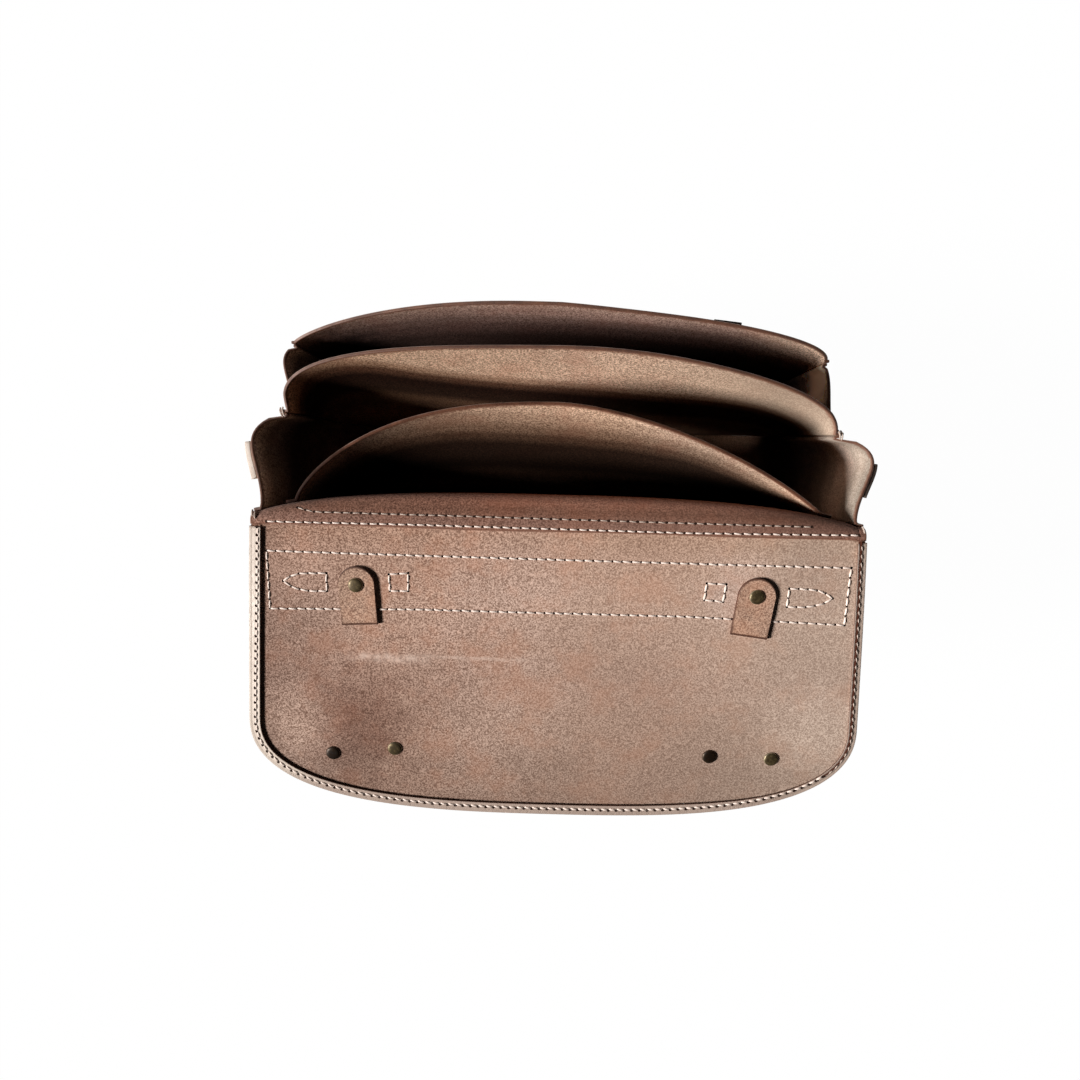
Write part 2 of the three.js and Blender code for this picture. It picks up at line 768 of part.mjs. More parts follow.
// Materials of the case
const suede = new THREE.MeshStandardMaterial({ color: 0xab8c7c, roughness: 0.95, metalness: 0 });
const inside = new THREE.MeshStandardMaterial({ color: 0xa68670, roughness: 0.93, metalness: 0 });
const trim = new THREE.MeshStandardMaterial({ color: 0xb08e7a, roughness: 0.8, metalness: 0 });
const strapHide = new THREE.MeshStandardMaterial({ color: 0x8a6a55, roughness: 0.7, metalness: 0 });
const brass = new THREE.MeshStandardMaterial({ color: 0x5a4a2f, roughness: 0.45, metalness: 0.9 });

const group = new THREE.Group();
group.name = 'attache_case';
function addPiece(name, solid, material) {
  const geometry = new THREE.BufferGeometry();
  const flat = solid.points.flatMap((point) => [point.x, point.y, point.z]);
  geometry.setAttribute('position', new THREE.Float32BufferAttribute(flat, 3));
  geometry.setIndex(solid.triangles);
  geometry.computeVertexNormals();
  const mesh = new THREE.Mesh(geometry, material);
  mesh.name = name;
  group.add(mesh);
}

addPiece('back_panel', backPanel(8, 7, 4), inside);
addPiece('divider', plainPanel(divider, 9, 8), inside);
addPiece('front_panel', plainPanel(front, 8, 8), inside);
addPiece('pocket_panel', pocketPanel(8, 8), inside);
addPiece('gusset_rear', gussetBody(gussetRear), inside);
addPiece('gusset_front', gussetBody(gussetFront), inside);
addPiece('flap', withHoles(sheetMesh(flapGrid(10, 9), flapThick), [...tabRivets, ...lowerRivets]), suede);
addPiece('flap_binding', bindingBody(10), trim);
addPiece('flap_band', withHoles(bandBody(), tabRivets), strapHide);
tabs.forEach((tab, place) => {
  addPiece(`tab_${tab.name}`, withHoles(tabBody(tab), [tabRivets[place]]), trim);
});
strips.forEach((strip, place) => {
  addPiece(`strip_${strip.name}`, withHoles(stripBody(strip), [tabRivets[place]]), strapHide);
});
[['left', 0, 1], ['right', 2, 3]].forEach(([name, first, second]) => {
  const pair = [lowerRivets[first], lowerRivets[second]];
  addPiece(`keeper_${name}`, withHoles(keeperBody(...pair), pair), strapHide);
});
tabRivets.forEach((rivet) => {
  const below = 2 * strapThick + gap + gap;
  addPiece(`tab_rivet_${rivet.name}`, rivetBody(rivet, tabThick + gap, below), brass);
});
lowerRivets.forEach((rivet) => {
  addPiece(`rivet_${rivet.name}`, rivetBody(rivet, 0, strapThick + gap), brass);
});
sideStraps.forEach((strap) => addPiece(`side_strap_${strap.name}`, sideStrap(strap), strapHide));
frontStraps.forEach((strap) => addPiece(`front_strap_${strap.name}`, frontStrap(strap), strapHide));

export default group;
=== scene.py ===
import math

import bmesh
import bpy
import numpy as np
from mathutils import Matrix, Vector


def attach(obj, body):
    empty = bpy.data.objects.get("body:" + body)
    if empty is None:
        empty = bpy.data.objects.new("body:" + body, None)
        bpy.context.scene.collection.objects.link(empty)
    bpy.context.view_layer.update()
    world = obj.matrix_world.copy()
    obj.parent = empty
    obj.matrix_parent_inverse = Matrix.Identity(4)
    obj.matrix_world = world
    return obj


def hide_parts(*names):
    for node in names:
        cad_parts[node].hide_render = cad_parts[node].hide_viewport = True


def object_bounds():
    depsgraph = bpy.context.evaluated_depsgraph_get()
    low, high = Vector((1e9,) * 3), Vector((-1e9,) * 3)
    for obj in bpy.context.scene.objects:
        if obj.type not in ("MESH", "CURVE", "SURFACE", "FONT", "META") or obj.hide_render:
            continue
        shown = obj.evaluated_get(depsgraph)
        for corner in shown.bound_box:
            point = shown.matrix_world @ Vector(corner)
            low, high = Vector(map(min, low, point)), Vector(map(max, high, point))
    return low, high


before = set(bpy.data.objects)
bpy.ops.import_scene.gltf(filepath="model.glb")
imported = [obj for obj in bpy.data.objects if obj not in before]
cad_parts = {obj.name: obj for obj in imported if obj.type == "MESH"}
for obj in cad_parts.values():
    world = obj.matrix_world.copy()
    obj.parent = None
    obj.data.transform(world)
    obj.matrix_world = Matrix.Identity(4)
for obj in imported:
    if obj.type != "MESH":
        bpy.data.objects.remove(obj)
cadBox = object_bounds()
print("frame:", len(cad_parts), "solids loaded")

# Shapes are worked out in millimetres and written to the meshes in metres
mm = 0.001
leather = {"panel": 2.2, "gusset": 1.8, "flap": 2.2, "binding": 1.1, "tab": 2.0, "strap": 2.2, "gap": 0.3}
seam = {
    "width": 6.0, "corner": 39.0, "floor": 0.9, "flat": 0.08, "clear": 0.02, "columns": (1.0, 0.6, 0.25),
    "taperFrom": 36, "taperOver": 34, "freeFrom": 4, "freeOver": 12,
}


def clamp01(value):
    return min(1.0, max(0.0, value))


def between(start, end, share):
    return start + (end - start) * share


def softStep(value):
    share = clamp01(value)
    return share * share * (3 - 2 * share)


# Camera at the photograph's place, nearly straight above
shot = {
    "place": (0.004, 0.0, 0.745),
    "right": (0.99919, 0.02419, -0.03230),
    "up": (-0.02842, 0.99008, -0.13761),
    "lens": 23.5,
    "sensor": 36,
    "clip": (0.01, 60),
}


def setCamera():
    data = bpy.data.cameras.new("shot")
    data.lens = shot["lens"]
    data.sensor_width = shot["sensor"]
    data.clip_start, data.clip_end = shot["clip"]
    right = Vector(shot["right"]).normalized()
    up = Vector(shot["up"])
    up = (up - right * up.dot(right)).normalized()
    back = right.cross(up)
    turn = Matrix((right, up, back)).transposed().to_4x4()
    camera = bpy.data.objects.new("shot", data)
    camera.matrix_world = Matrix.Translation(Vector(shot["place"])) @ turn
    bpy.context.scene.collection.objects.link(camera)
    bpy.context.scene.camera = camera


# Soft key from the left and from the flap's side, a weak even fill, and a pale floor
studio = {
    "keyTowards": (-0.82, -0.17, 0.55),
    "keyAway": 2,
    "keyStrength": 6.2,
    "keySoftness": 16.0,
    "keyColour": (1.0, 0.975, 0.94),
    "fill": 0.022,
    "fillColour": (1.0, 0.96, 0.93),
    "backdrop": (1.0, 1.0, 1.0),
    "floorColour": (0.86, 0.86, 0.86),
    "floorGlow": 0.985,
    "floorRadius": 9.0,
    "floorSegments": 96,
    "floorDrop": 0.0003,
    "floorRoughness": 0.9,
}


def setStudio():
    scene = bpy.context.scene
    scene.view_settings.view_transform = "Standard"
    scene.view_settings.look = "None"
    key = bpy.data.lights.new("key", "SUN")
    key.energy = studio["keyStrength"]
    key.angle = math.radians(studio["keySoftness"])
    key.color = studio["keyColour"]
    lamp = bpy.data.objects.new("key", key)
    lamp.rotation_euler = Vector(studio["keyTowards"]).to_track_quat("Z", "Y").to_euler()
    lamp.location = Vector(studio["keyTowards"]) * studio["keyAway"]
    scene.collection.objects.link(lamp)

    world = bpy.data.worlds.new("studio")
    scene.world = world
    world.use_nodes = True
    tree = world.node_tree
    tree.nodes.clear()
    fill = addNode(tree, "ShaderNodeBackground", feeds={0: (*studio["fillColour"], 1), 1: studio["fill"]})
    seen = addNode(tree, "ShaderNodeBackground", feeds={0: (*studio["backdrop"], 1), 1: 1.0})
    path = addNode(tree, "ShaderNodeLightPath")
    feeds = {0: path.outputs["Is Camera Ray"], 1: fill.outputs[0], 2: seen.outputs[0]}
    both = addNode(tree, "ShaderNodeMixShader", feeds=feeds)
    addNode(tree, "ShaderNodeOutputWorld", feeds={0: both.outputs[0]})

    floorMesh = bpy.data.meshes.new("floor")
    build = bmesh.new()
    segments, radius = studio["floorSegments"], studio["floorRadius"]
    bmesh.ops.create_circle(build, cap_ends=True, segments=segments, radius=radius)
    build.to_mesh(floorMesh)
    build.free()
    floorMesh.transform(Matrix.Translation((0, 0, cadBox[0].z - studio["floorDrop"])))
    floor = bpy.data.objects.new("floor", floorMesh)
    scene.collection.objects.link(floor)
    floorMesh.materials.append(floorFinish())


# Node helpers: a feed is a value or the socket that it comes from
def addNode(tree, kind, settings=None, feeds=None):
    node = tree.nodes.new(kind)
    for name, value in (settings or {}).items():
        setattr(node, name, value)
    for name, value in (feeds or {}).items():
        if isinstance(value, bpy.types.NodeSocket):
            tree.links.new(value, node.inputs[name])
        else:
            node.inputs[name].default_value = value
    return node


def addMath(tree, operation, first, second=0.0, clamp=False):
    feeds = {0: first, 1: second}
    return addNode(tree, "ShaderNodeMath", {"operation": operation, "use_clamp": clamp}, feeds).outputs[0]


def addRange(tree, value, lowIn, highIn, lowOut, highOut, smooth=True):
    kind = "SMOOTHSTEP" if smooth else "LINEAR"
    feeds = {0: value, 1: lowIn, 2: highIn, 3: lowOut, 4: highOut}
    return addNode(tree, "ShaderNodeMapRange", {"interpolation_type": kind}, feeds).outputs[0]


def addMix(tree, share, first, second, kind="MIX"):
    feeds = {0: share, 6: first, 7: second}
    return addNode(tree, "ShaderNodeMix", {"data_type": "RGBA", "blend_type": kind}, feeds).outputs[2]


def addNoise(tree, place, scale, detail=2.0, rough=0.5):
    feeds = {"Vector": place, "Scale": scale, "Detail": detail, "Roughness": rough}
    return addNode(tree, "ShaderNodeTexNoise", feeds=feeds).outputs[0]


def socketKind(value):
    if isinstance(value, str):
        return "NodeSocket" + value
    if isinstance(value, tuple):
        return "NodeSocketColor" if len(value) == 4 else "NodeSocketVector"
    return "NodeSocketInt" if isinstance(value, int) else "NodeSocketFloat"


# An input is given by its start value, or by its kind where it has none
def newGroup(name, inputs, outputs, kind="ShaderNodeTree"):
    tree = bpy.data.node_groups.new(name, kind)
    for label, value in inputs.items():
        socket = tree.interface.new_socket(label, in_out="INPUT", socket_type=socketKind(value))
        if not isinstance(value, str):
            socket.default_value = value
    for label, value in outputs.items():
        tree.interface.new_socket(label, in_out="OUTPUT", socket_type=socketKind(value))
    start = tree.nodes.new("NodeGroupInput")
    end = tree.nodes.new("NodeGroupOutput")
    return tree, start.outputs, end.inputs


# Suede nap: close fine grain, sparse dark pores, and rosy patches over a broad mottle
def suedeGrainGroup():
    tree, given, made = newGroup(
        "suedeGrain",
        {"Place": "Vector", "Pale": (0.5, 0.35, 0.27, 1), "Deep": (0.2, 0.12, 0.08, 1),
         "Rosy": (0.4, 0.2, 0.14, 1), "Scale": 900.0, "Pores": 0.5, "Mottle": 0.12},
        {"Color": "Color", "Height": "Float"})
    fine = addNoise(tree, given["Place"], given["Scale"], 3.0, 0.7)
    spots = addNoise(tree, given["Place"], addMath(tree, "MULTIPLY", given["Scale"], 0.74), 1.5, 0.6)
    clumps = addNoise(tree, given["Place"], addMath(tree, "MULTIPLY", given["Scale"], 0.31), 2.0, 0.55)
    nap = addMath(tree, "ADD", addMath(tree, "MULTIPLY", fine, 0.90), addMath(tree, "MULTIPLY", clumps, 0.10))
    nap = addMix(tree, addRange(tree, nap, 0.37, 0.63, 0.0, 1.0), given["Deep"], given["Pale"])
    pores = addMath(tree, "MULTIPLY", addRange(tree, spots, 0.32, 0.42, 1.0, 0.0), given["Pores"])
    nap = addMix(tree, pores, nap, addMix(tree, 0.85, nap, given["Deep"]))
    rose = addRange(tree, addNoise(tree, given["Place"], 34.0, 5.0, 0.66), 0.46, 0.68, 0.0, 0.8)
    nap = addMix(tree, rose, nap, addMix(tree, 0.5, nap, given["Rosy"]))
    broad = addRange(tree, addNoise(tree, given["Place"], 17.0, 5.0, 0.62), 0.3, 0.7, -1.0, 1.0)
    level = addMath(tree, "ADD", addMath(tree, "MULTIPLY", broad, given["Mottle"]), 1.0)
    toned = addNode(tree, "ShaderNodeVectorMath", {"operation": "SCALE"}, {0: nap, "Scale": level})
    tree.links.new(toned.outputs[0], made["Color"])
    height = addMath(tree, "ADD", addMath(tree, "MULTIPLY", fine, 0.7), addMath(tree, "MULTIPLY", spots, 0.5))
    tree.links.new(height, made["Height"])
    return tree


# Smooth side of the hide: tiny pebbles, pores and long faint creases
def hideGrainGroup():
    tree, given, made = newGroup(
        "hideGrain",
        {"Place": "Vector", "Pale": (0.5, 0.35, 0.27, 1), "Deep": (0.3, 0.2, 0.13, 1), "Scale": 900.0},
        {"Color": "Color", "Height": "Float", "Rough": "Float"})
    cells = addNode(tree, "ShaderNodeTexVoronoi", {"feature": "SMOOTH_F1"},
                    {"Vector": given["Place"], "Scale": given["Scale"], "Smoothness": 0.35}).outputs[0]
    broad = addNoise(tree, given["Place"], 11.0, 5.0, 0.6)
    creaseNoise = addNoise(tree, given["Place"], 46.0, 5.0, 0.7)
    crease = addMath(tree, "ABSOLUTE", addMath(tree, "SUBTRACT", creaseNoise, 0.5))
    crease = addRange(tree, crease, 0.0, 0.035, 1.0, 0.0)
    dark = addMath(tree, "MULTIPLY", addRange(tree, cells, 0.25, 0.75, 0.0, 1.0), 0.22)
    dark = addMath(tree, "ADD", dark, addMath(tree, "MULTIPLY", crease, 0.16))
    dark = addMath(tree, "ADD", dark, addRange(tree, broad, 0.35, 0.7, 0.0, 0.5), True)
    tree.links.new(addMix(tree, dark, given["Pale"], given["Deep"]), made["Color"])
    pebbles = addMath(tree, "MULTIPLY", cells, -0.5)
    height = addMath(tree, "SUBTRACT", pebbles, addMath(tree, "MULTIPLY", crease, 0.7))
    tree.links.new(height, made["Height"])
    tree.links.new(addRange(tree, broad, 0.3, 0.7, 0.42, 0.6), made["Rough"])
    return tree


# Darker, redder leather along a cut edge, ragged on its inner side
def edgeBurnishGroup():
    tree, given, made = newGroup(
        "edgeBurnish",
        {"Place": "Vector", "Color": (0.5, 0.35, 0.27, 1), "Distance": 1.0, "Tint": (0.2, 0.09, 0.05, 1),
         "Reach": 0.004, "Amount": 0.7},
        {"Color": "Color"})
    ragged = addRange(tree, addNoise(tree, given["Place"], 220.0, 3.0, 0.6), 0.3, 0.7, 0.55, 1.35)
    reach = addMath(tree, "MULTIPLY", given["Reach"], ragged)
    share = addMath(tree, "DIVIDE", given["Distance"], reach)
    mask = addMath(tree, "MULTIPLY", addRange(tree, share, 0.15, 1.0, 1.0, 0.0), given["Amount"])
    tree.links.new(addMix(tree, mask, given["Color"], given["Tint"]), made["Color"])
    return tree


# A pale rubbed line of a given place, turn and size
def scuffLineGroup():
    tree, given, made = newGroup(
        "scuffLine",
        {"Place": "Vector", "Centre": "Vector", "Turn": 0.0, "Half Length": 0.03, "Half Width": 0.002},
        {"Mask": "Float"})
    local = addNode(tree, "ShaderNodeVectorMath", {"operation": "SUBTRACT"},
                    {0: given["Place"], 1: given["Centre"]}).outputs[0]
    turned = addNode(tree, "ShaderNodeVectorRotate", {"rotation_type": "Z_AXIS"},
                     {"Vector": local, "Angle": given["Turn"]}).outputs[0]
    parts = addNode(tree, "ShaderNodeSeparateXYZ", feeds={0: turned}).outputs
    wobble = addMath(tree, "SUBTRACT", addNoise(tree, given["Place"], 90.0, 2.0), 0.5)
    across = addMath(tree, "ADD", parts[1], addMath(tree, "MULTIPLY", wobble, given["Half Width"]))
    along = addMath(tree, "DIVIDE", addMath(tree, "ABSOLUTE", parts[0]), given["Half Length"])
    across = addMath(tree, "DIVIDE", addMath(tree, "ABSOLUTE", across), given["Half Width"])
    ends = addRange(tree, along, 0.4, 1.0, 1.0, 0.0)
    sides = addRange(tree, across, 0.0, 1.0, 1.0, 0.0)
    broken = addRange(tree, addNoise(tree, given["Place"], 160.0, 3.0, 0.6), 0.38, 0.62, 0.35, 1.0)
    mask = addMath(tree, "MULTIPLY", addMath(tree, "MULTIPLY", ends, sides), broken)
    tree.links.new(mask, made["Mask"])
    return tree


# A soft tinted patch of a given place and size, uneven along its border
def softPatchGroup():
    tree, given, made = newGroup(
        "softPatch",
        {"Place": "Vector", "Color": (0.5, 0.35, 0.27, 1), "Centre": "Vector", "Radius": 0.03,
         "Tint": (0.5, 0.5, 0.5, 1)},
        {"Color": "Color"})
    away = addNode(tree, "ShaderNodeVectorMath", {"operation": "DISTANCE"},
                   {0: given["Place"], 1: given["Centre"]}).outputs["Value"]
    uneven = addRange(tree, addNoise(tree, given["Place"], 55.0, 4.0, 0.65), 0.3, 0.7, 0.65, 1.35)
    share = addMath(tree, "DIVIDE", away, addMath(tree, "MULTIPLY", given["Radius"], uneven))
    mask = addRange(tree, share, 0.15, 1.0, 1.0, 0.0)
    tinted = addMix(tree, 1.0, given["Color"], given["Tint"], "MULTIPLY")
    tree.links.new(addMix(tree, mask, given["Color"], tinted), made["Color"])
    return tree


suedeGrain = suedeGrainGroup()
hideGrain = hideGrainGroup()
edgeBurnish = edgeBurnishGroup()
scuffLine = scuffLineGroup()
softPatch = softPatchGroup()


def useGroup(tree, group, feeds):
    return addNode(tree, "ShaderNodeGroup", {"node_tree": group}, feeds).outputs


def newFinish(name):
    material = bpy.data.materials.new(name)
    material.use_nodes = True
    tree = material.node_tree
    tree.nodes.clear()
    shader = tree.nodes.new("ShaderNodeBsdfPrincipled")
    output = tree.nodes.new("ShaderNodeOutputMaterial")
    tree.links.new(shader.outputs[0], output.inputs[0])
    place = tree.nodes.new("ShaderNodeTexCoord").outputs["Object"]
    return material, tree, shader, place


# Strength and distance of each surface's relief
relief = {
    "suede": (0.45, 0.0005), "hide": (0.35, 0.0005), "edge": (0.4, 0.0003), "thread": (0.5, 0.0003),
    "brass": (0.12, 0.0003),
}


def addBump(tree, shader, height, surface):
    strength, distance = relief[surface]
    feeds = {"Strength": strength, "Distance": distance, "Height": height}
    bump = addNode(tree, "ShaderNodeBump", feeds=feeds)
    tree.links.new(bump.outputs[0], shader.inputs["Normal"])


def readAttribute(tree, name):
    return addNode(tree, "ShaderNodeAttribute", {"attribute_name": name}).outputs["Fac"]


def addPatches(tree, colour, place, patches):
    for patch in patches:
        colour = useGroup(tree, softPatch, {"Place": place, "Color": colour, "Centre": patch["centre"],
                                            "Radius": patch["radius"], "Tint": (*patch["tint"], 1)})["Color"]
    return colour


# Suede; its depths are painted shade, on the gusset painted light as well: depths goes by distance below the
# rim, sooner adds by X
flapSuede = {
    "pale": (0.710, 0.500, 0.395, 1), "deep": (0.195, 0.106, 0.072, 1), "rosy": (0.42, 0.20, 0.12, 1),
    "scale": 920.0, "pores": 0.8, "mottle": 0.09, "edgeTint": (0.16, 0.076, 0.048, 1), "edgeReach": 0.002,
    "edgeAmount": 0.75, "sheen": 0.06, "specular": 0.12, "even": (0.45, 0.302, 0.232, 1),
    "calm": [(-0.20, 0.0), (-0.08, 0.05), (0.06, 0.3), (0.20, 0.42)],
    # Lighter and darker patches on the nap; the pale one at the lower left corner is painted light
    "patches": [
        {"centre": (-0.135, -0.202, 0.272), "radius": 0.060, "tint": (0.64, 0.57, 0.55)},
        {"centre": (-0.178, -0.206, 0.270), "radius": 0.044, "tint": (1.72, 1.85, 1.90)},
        {"centre": (-0.040, -0.205, 0.271), "radius": 0.075, "tint": (1.11, 1.15, 1.18)},
        {"centre": (0.186, -0.198, 0.271), "radius": 0.050, "tint": (1.22, 1.27, 1.30)},
        {"centre": (-0.170, -0.084, 0.280), "radius": 0.036, "tint": (1.18, 1.18, 1.18)},
        {"centre": (0.176, -0.094, 0.280), "radius": 0.044, "tint": (0.91, 0.91, 0.92)},
        {"centre": (0.168, -0.063, 0.281), "radius": 0.032, "tint": (0.93, 0.95, 0.97)},
        {"centre": (-0.030, -0.088, 0.280), "radius": 0.080, "tint": (1.07, 1.10, 1.14)},
        {"centre": (0.121, -0.094, 0.280), "radius": 0.030, "tint": (1.09, 1.13, 1.20)},
    ],
}
tabSuede = {
    **flapSuede, "pale": (0.615, 0.405, 0.300, 1), "deep": (0.170, 0.092, 0.064, 1), "pores": 0.5,
    "edgeTint": (0.085, 0.038, 0.024, 1), "edgeReach": 0.0020, "edgeAmount": 0.9,
    "patches": [], "calm": [(-0.2, 0.0), (0.2, 0.0)],
    # depths is a dark line along the tab's lower edge, a painted shadow
    "depths": [(0.0, (0.20, 0.12, 0.09)), (0.0011, (0.26, 0.17, 0.13)), (0.0019, (1.0, 1.0, 1.0))],
}
rollSuede = {
    **flapSuede, "patches": [],
    # depths darkens the suede next to the roll's cut edge: painted shade
    "depths": [(0.0, (0.60, 0.42, 0.36)), (0.0007, (0.66, 0.48, 0.43)), (0.0016, (1.0, 1.0, 1.0))],
}
innerSuede = {
    "pale": (0.950, 0.690, 0.515, 1), "deep": (0.275, 0.170, 0.117, 1), "rosy": (0.42, 0.21, 0.14, 1),
    "scale": 860.0, "pores": 0.9, "mottle": 0.07, "edgeTint": (0.16, 0.062, 0.035, 1), "edgeReach": 0.004,
    "edgeAmount": 0.75, "sheen": 0.0, "specular": 0.05,
}
dividerSuede = {
    **innerSuede, "even": (0.60, 0.425, 0.315, 1),
    "calm": [(-0.2, 0.0), (0.07, 0.0), (0.14, 0.5), (0.2, 0.65)],
    "depths": [(0.0, (1.02, 1.0, 1.0)), (0.050, (1.10, 1.09, 1.09)), (0.060, (0.62, 0.55, 0.51)),
               (0.069, (0.17, 0.120, 0.102)), (0.082, (0.030, 0.017, 0.014)), (0.105, (0.040, 0.027, 0.022)),
               (0.130, (0.22, 0.17, 0.14)), (0.200, (0.9, 0.76, 0.70))],
    "sooner": [(-0.200, 0.038), (-0.165, 0.060), (-0.130, 0.048), (-0.100, 0.030), (-0.060, 0.013),
               (-0.020, 0.006), (0.030, 0.0), (0.085, 0.0), (0.130, 0.010), (0.160, 0.012), (0.190, 0.003)],
}
pocketSuede = {
    **innerSuede,
    "depths": [(0.0, (1.22, 1.15, 1.10)), (0.010, (0.97, 0.91, 0.87)), (0.020, (0.66, 0.60, 0.56)),
               (0.036, (0.31, 0.26, 0.23)), (0.046, (0.12, 0.09, 0.075)), (0.060, (0.030, 0.020, 0.016)),
               (0.095, (0.020, 0.013, 0.010)), (0.120, (0.12, 0.09, 0.075)), (0.150, (0.5, 0.40, 0.37))],
    "sooner": [(-0.185, 0.008), (-0.150, 0.015), (-0.110, 0.021), (-0.060, 0.010), (-0.020, 0.001),
               (0.020, 0.0), (0.060, 0.008), (0.100, 0.020), (0.140, 0.014), (0.178, 0.0)],
    # A near-black spot low on the right: a painted shadow
    "patches": [{"centre": (0.136, -0.0367, 0.190), "radius": 0.010, "tint": (0.01, 0.01, 0.01)}],
}
frontSuede = {
    **innerSuede,
    "depths": [(0.0, (1.06, 1.03, 1.10)), (0.020, (0.76, 0.72, 0.78)), (0.034, (0.55, 0.50, 0.56)),
               (0.046, (0.29, 0.255, 0.29)), (0.060, (0.145, 0.118, 0.135)), (0.080, (0.055, 0.043, 0.048)),
               (0.110, (0.034, 0.026, 0.028))],
    "sooner": [(-0.195, 0.030), (-0.150, 0.021), (-0.110, 0.019), (0.0, 0.020), (0.130, 0.021),
               (0.160, 0.010), (0.190, 0.0)],
    # Darker at the left end: painted shade
    "patches": [{"centre": (-0.168, 0.066, 0.178), "radius": 0.052, "tint": (0.16, 0.15, 0.15)}],
}
# The left gusset is moved on by 0.4, so its stops are the last five
gussetSuede = {
    **innerSuede, "even": (0.60, 0.425, 0.315, 1), "calm": [(-0.2, 0.0), (0.0, 0.0), (0.05, 0.5), (0.2, 0.5)],
    "depths": [(0.0, (0.40, 0.48, 0.54)), (0.015, (0.48, 0.57, 0.64)), (0.035, (0.78, 0.90, 1.01)),
               (0.047, (1.22, 1.35, 1.53)), (0.058, (1.22, 1.35, 1.54)), (0.070, (0.84, 0.93, 1.06)),
               (0.086, (0.44, 0.48, 0.55)), (0.110, (0.28, 0.29, 0.33)), (0.150, (0.080, 0.076, 0.090)),
               (0.190, (0.065, 0.062, 0.080)), (0.270, (0.60, 0.48, 0.42)), (0.390, (0.60, 0.48, 0.42)),
               (0.400, (1.15, 1.28, 1.45)), (0.424, (0.42, 0.46, 0.54)), (0.464, (0.075, 0.070, 0.080)),
               (0.504, (0.18, 0.15, 0.15)), (0.544, (0.36, 0.29, 0.27))],
    "sooner": [(-0.030, 0.400), (-0.010, 0.400), (0.010, 0.016), (0.030, 0.016)],
    # A much lighter place on the right gusset: painted light
    "patches": [{"centre": (0.188, 0.058, 0.206), "radius": 0.040, "tint": (4.6, 4.8, 4.6)}],
}


# A tint that runs through a few named stops along one axis
def addTint(tree, value, stops, kind="EASE"):
    first, last = stops[0][0], stops[-1][0]
    ramp = tree.nodes.new("ShaderNodeValToRGB")
    tree.links.new(addRange(tree, value, first, last, 0.0, 1.0, False), ramp.inputs[0])
    ramp.color_ramp.interpolation = kind
    while len(ramp.color_ramp.elements) < len(stops):
        ramp.color_ramp.elements.new(0.5)
    for element, (place, tint) in zip(ramp.color_ramp.elements, stops):
        element.position = (place - first) / (last - first)
        element.color = (*tint, 1)
    return ramp.outputs[0]


def addAxisTints(tree, colour, parts, tints):
    for axis, stops in tints.items():
        colour = addMix(tree, 1.0, colour, addTint(tree, parts["XYZ".index(axis)], stops), "MULTIPLY")
    return colour


def addEdge(tree, colour, place, look):
    feeds = {"Place": place, "Color": colour, "Distance": readAttribute(tree, "edgeDist"),
             "Tint": look["edgeTint"], "Reach": look["edgeReach"], "Amount": look["edgeAmount"]}
    return useGroup(tree, edgeBurnish, feeds)["Color"]


def suedeFinish(name, look, tints=None, scuffs=()):
    material, tree, shader, place = newFinish(name)
    nap = useGroup(tree, suedeGrain, {"Place": place, "Pale": look["pale"], "Deep": look["deep"],
                                      "Rosy": look["rosy"], "Scale": look["scale"], "Pores": look["pores"],
                                      "Mottle": look["mottle"]})
    colour = nap["Color"]
    parts = addNode(tree, "ShaderNodeSeparateXYZ", feeds={0: place}).outputs
    if "calm" in look:
        stops = [(x, (share, share, share)) for x, share in look["calm"]]
        colour = addMix(tree, addTint(tree, parts[0], stops), colour, look["even"])
    # Tints along the axes and by distance below the rim: painted light and shade
    colour = addAxisTints(tree, colour, parts, tints or {})
    if "depths" in look:
        below = readAttribute(tree, "rimDist")
        if "sooner" in look:
            stops = [(x, (extra, extra, extra)) for x, extra in look["sooner"]]
            below = addMath(tree, "ADD", below, addTint(tree, parts[0], stops, "B_SPLINE"))
        colour = addMix(tree, 1.0, colour, addTint(tree, below, look["depths"]), "MULTIPLY")
    colour = addPatches(tree, colour, place, look.get("patches", ()))
    for scuff in scuffs:
        feeds = {"Place": place, "Centre": scuff["centre"], "Turn": scuff["turn"],
                 "Half Length": scuff["length"], "Half Width": scuff["width"]}
        mask = useGroup(tree, scuffLine, feeds)["Mask"]
        colour = addMix(tree, addMath(tree, "MULTIPLY", mask, scuff["amount"]), colour, scuff["colour"])
    tree.links.new(addEdge(tree, colour, place, look), shader.inputs["Base Color"])
    rough = addRange(tree, nap["Height"], 0.4, 0.8, 0.98, 0.86)
    tree.links.new(rough, shader.inputs["Roughness"])
    shader.inputs["Sheen Weight"].default_value = look["sheen"]
    shader.inputs["Sheen Roughness"].default_value = 0.6
    shader.inputs["Specular IOR Level"].default_value = look["specular"]
    addBump(tree, shader, nap["Height"], "suede")
    return material


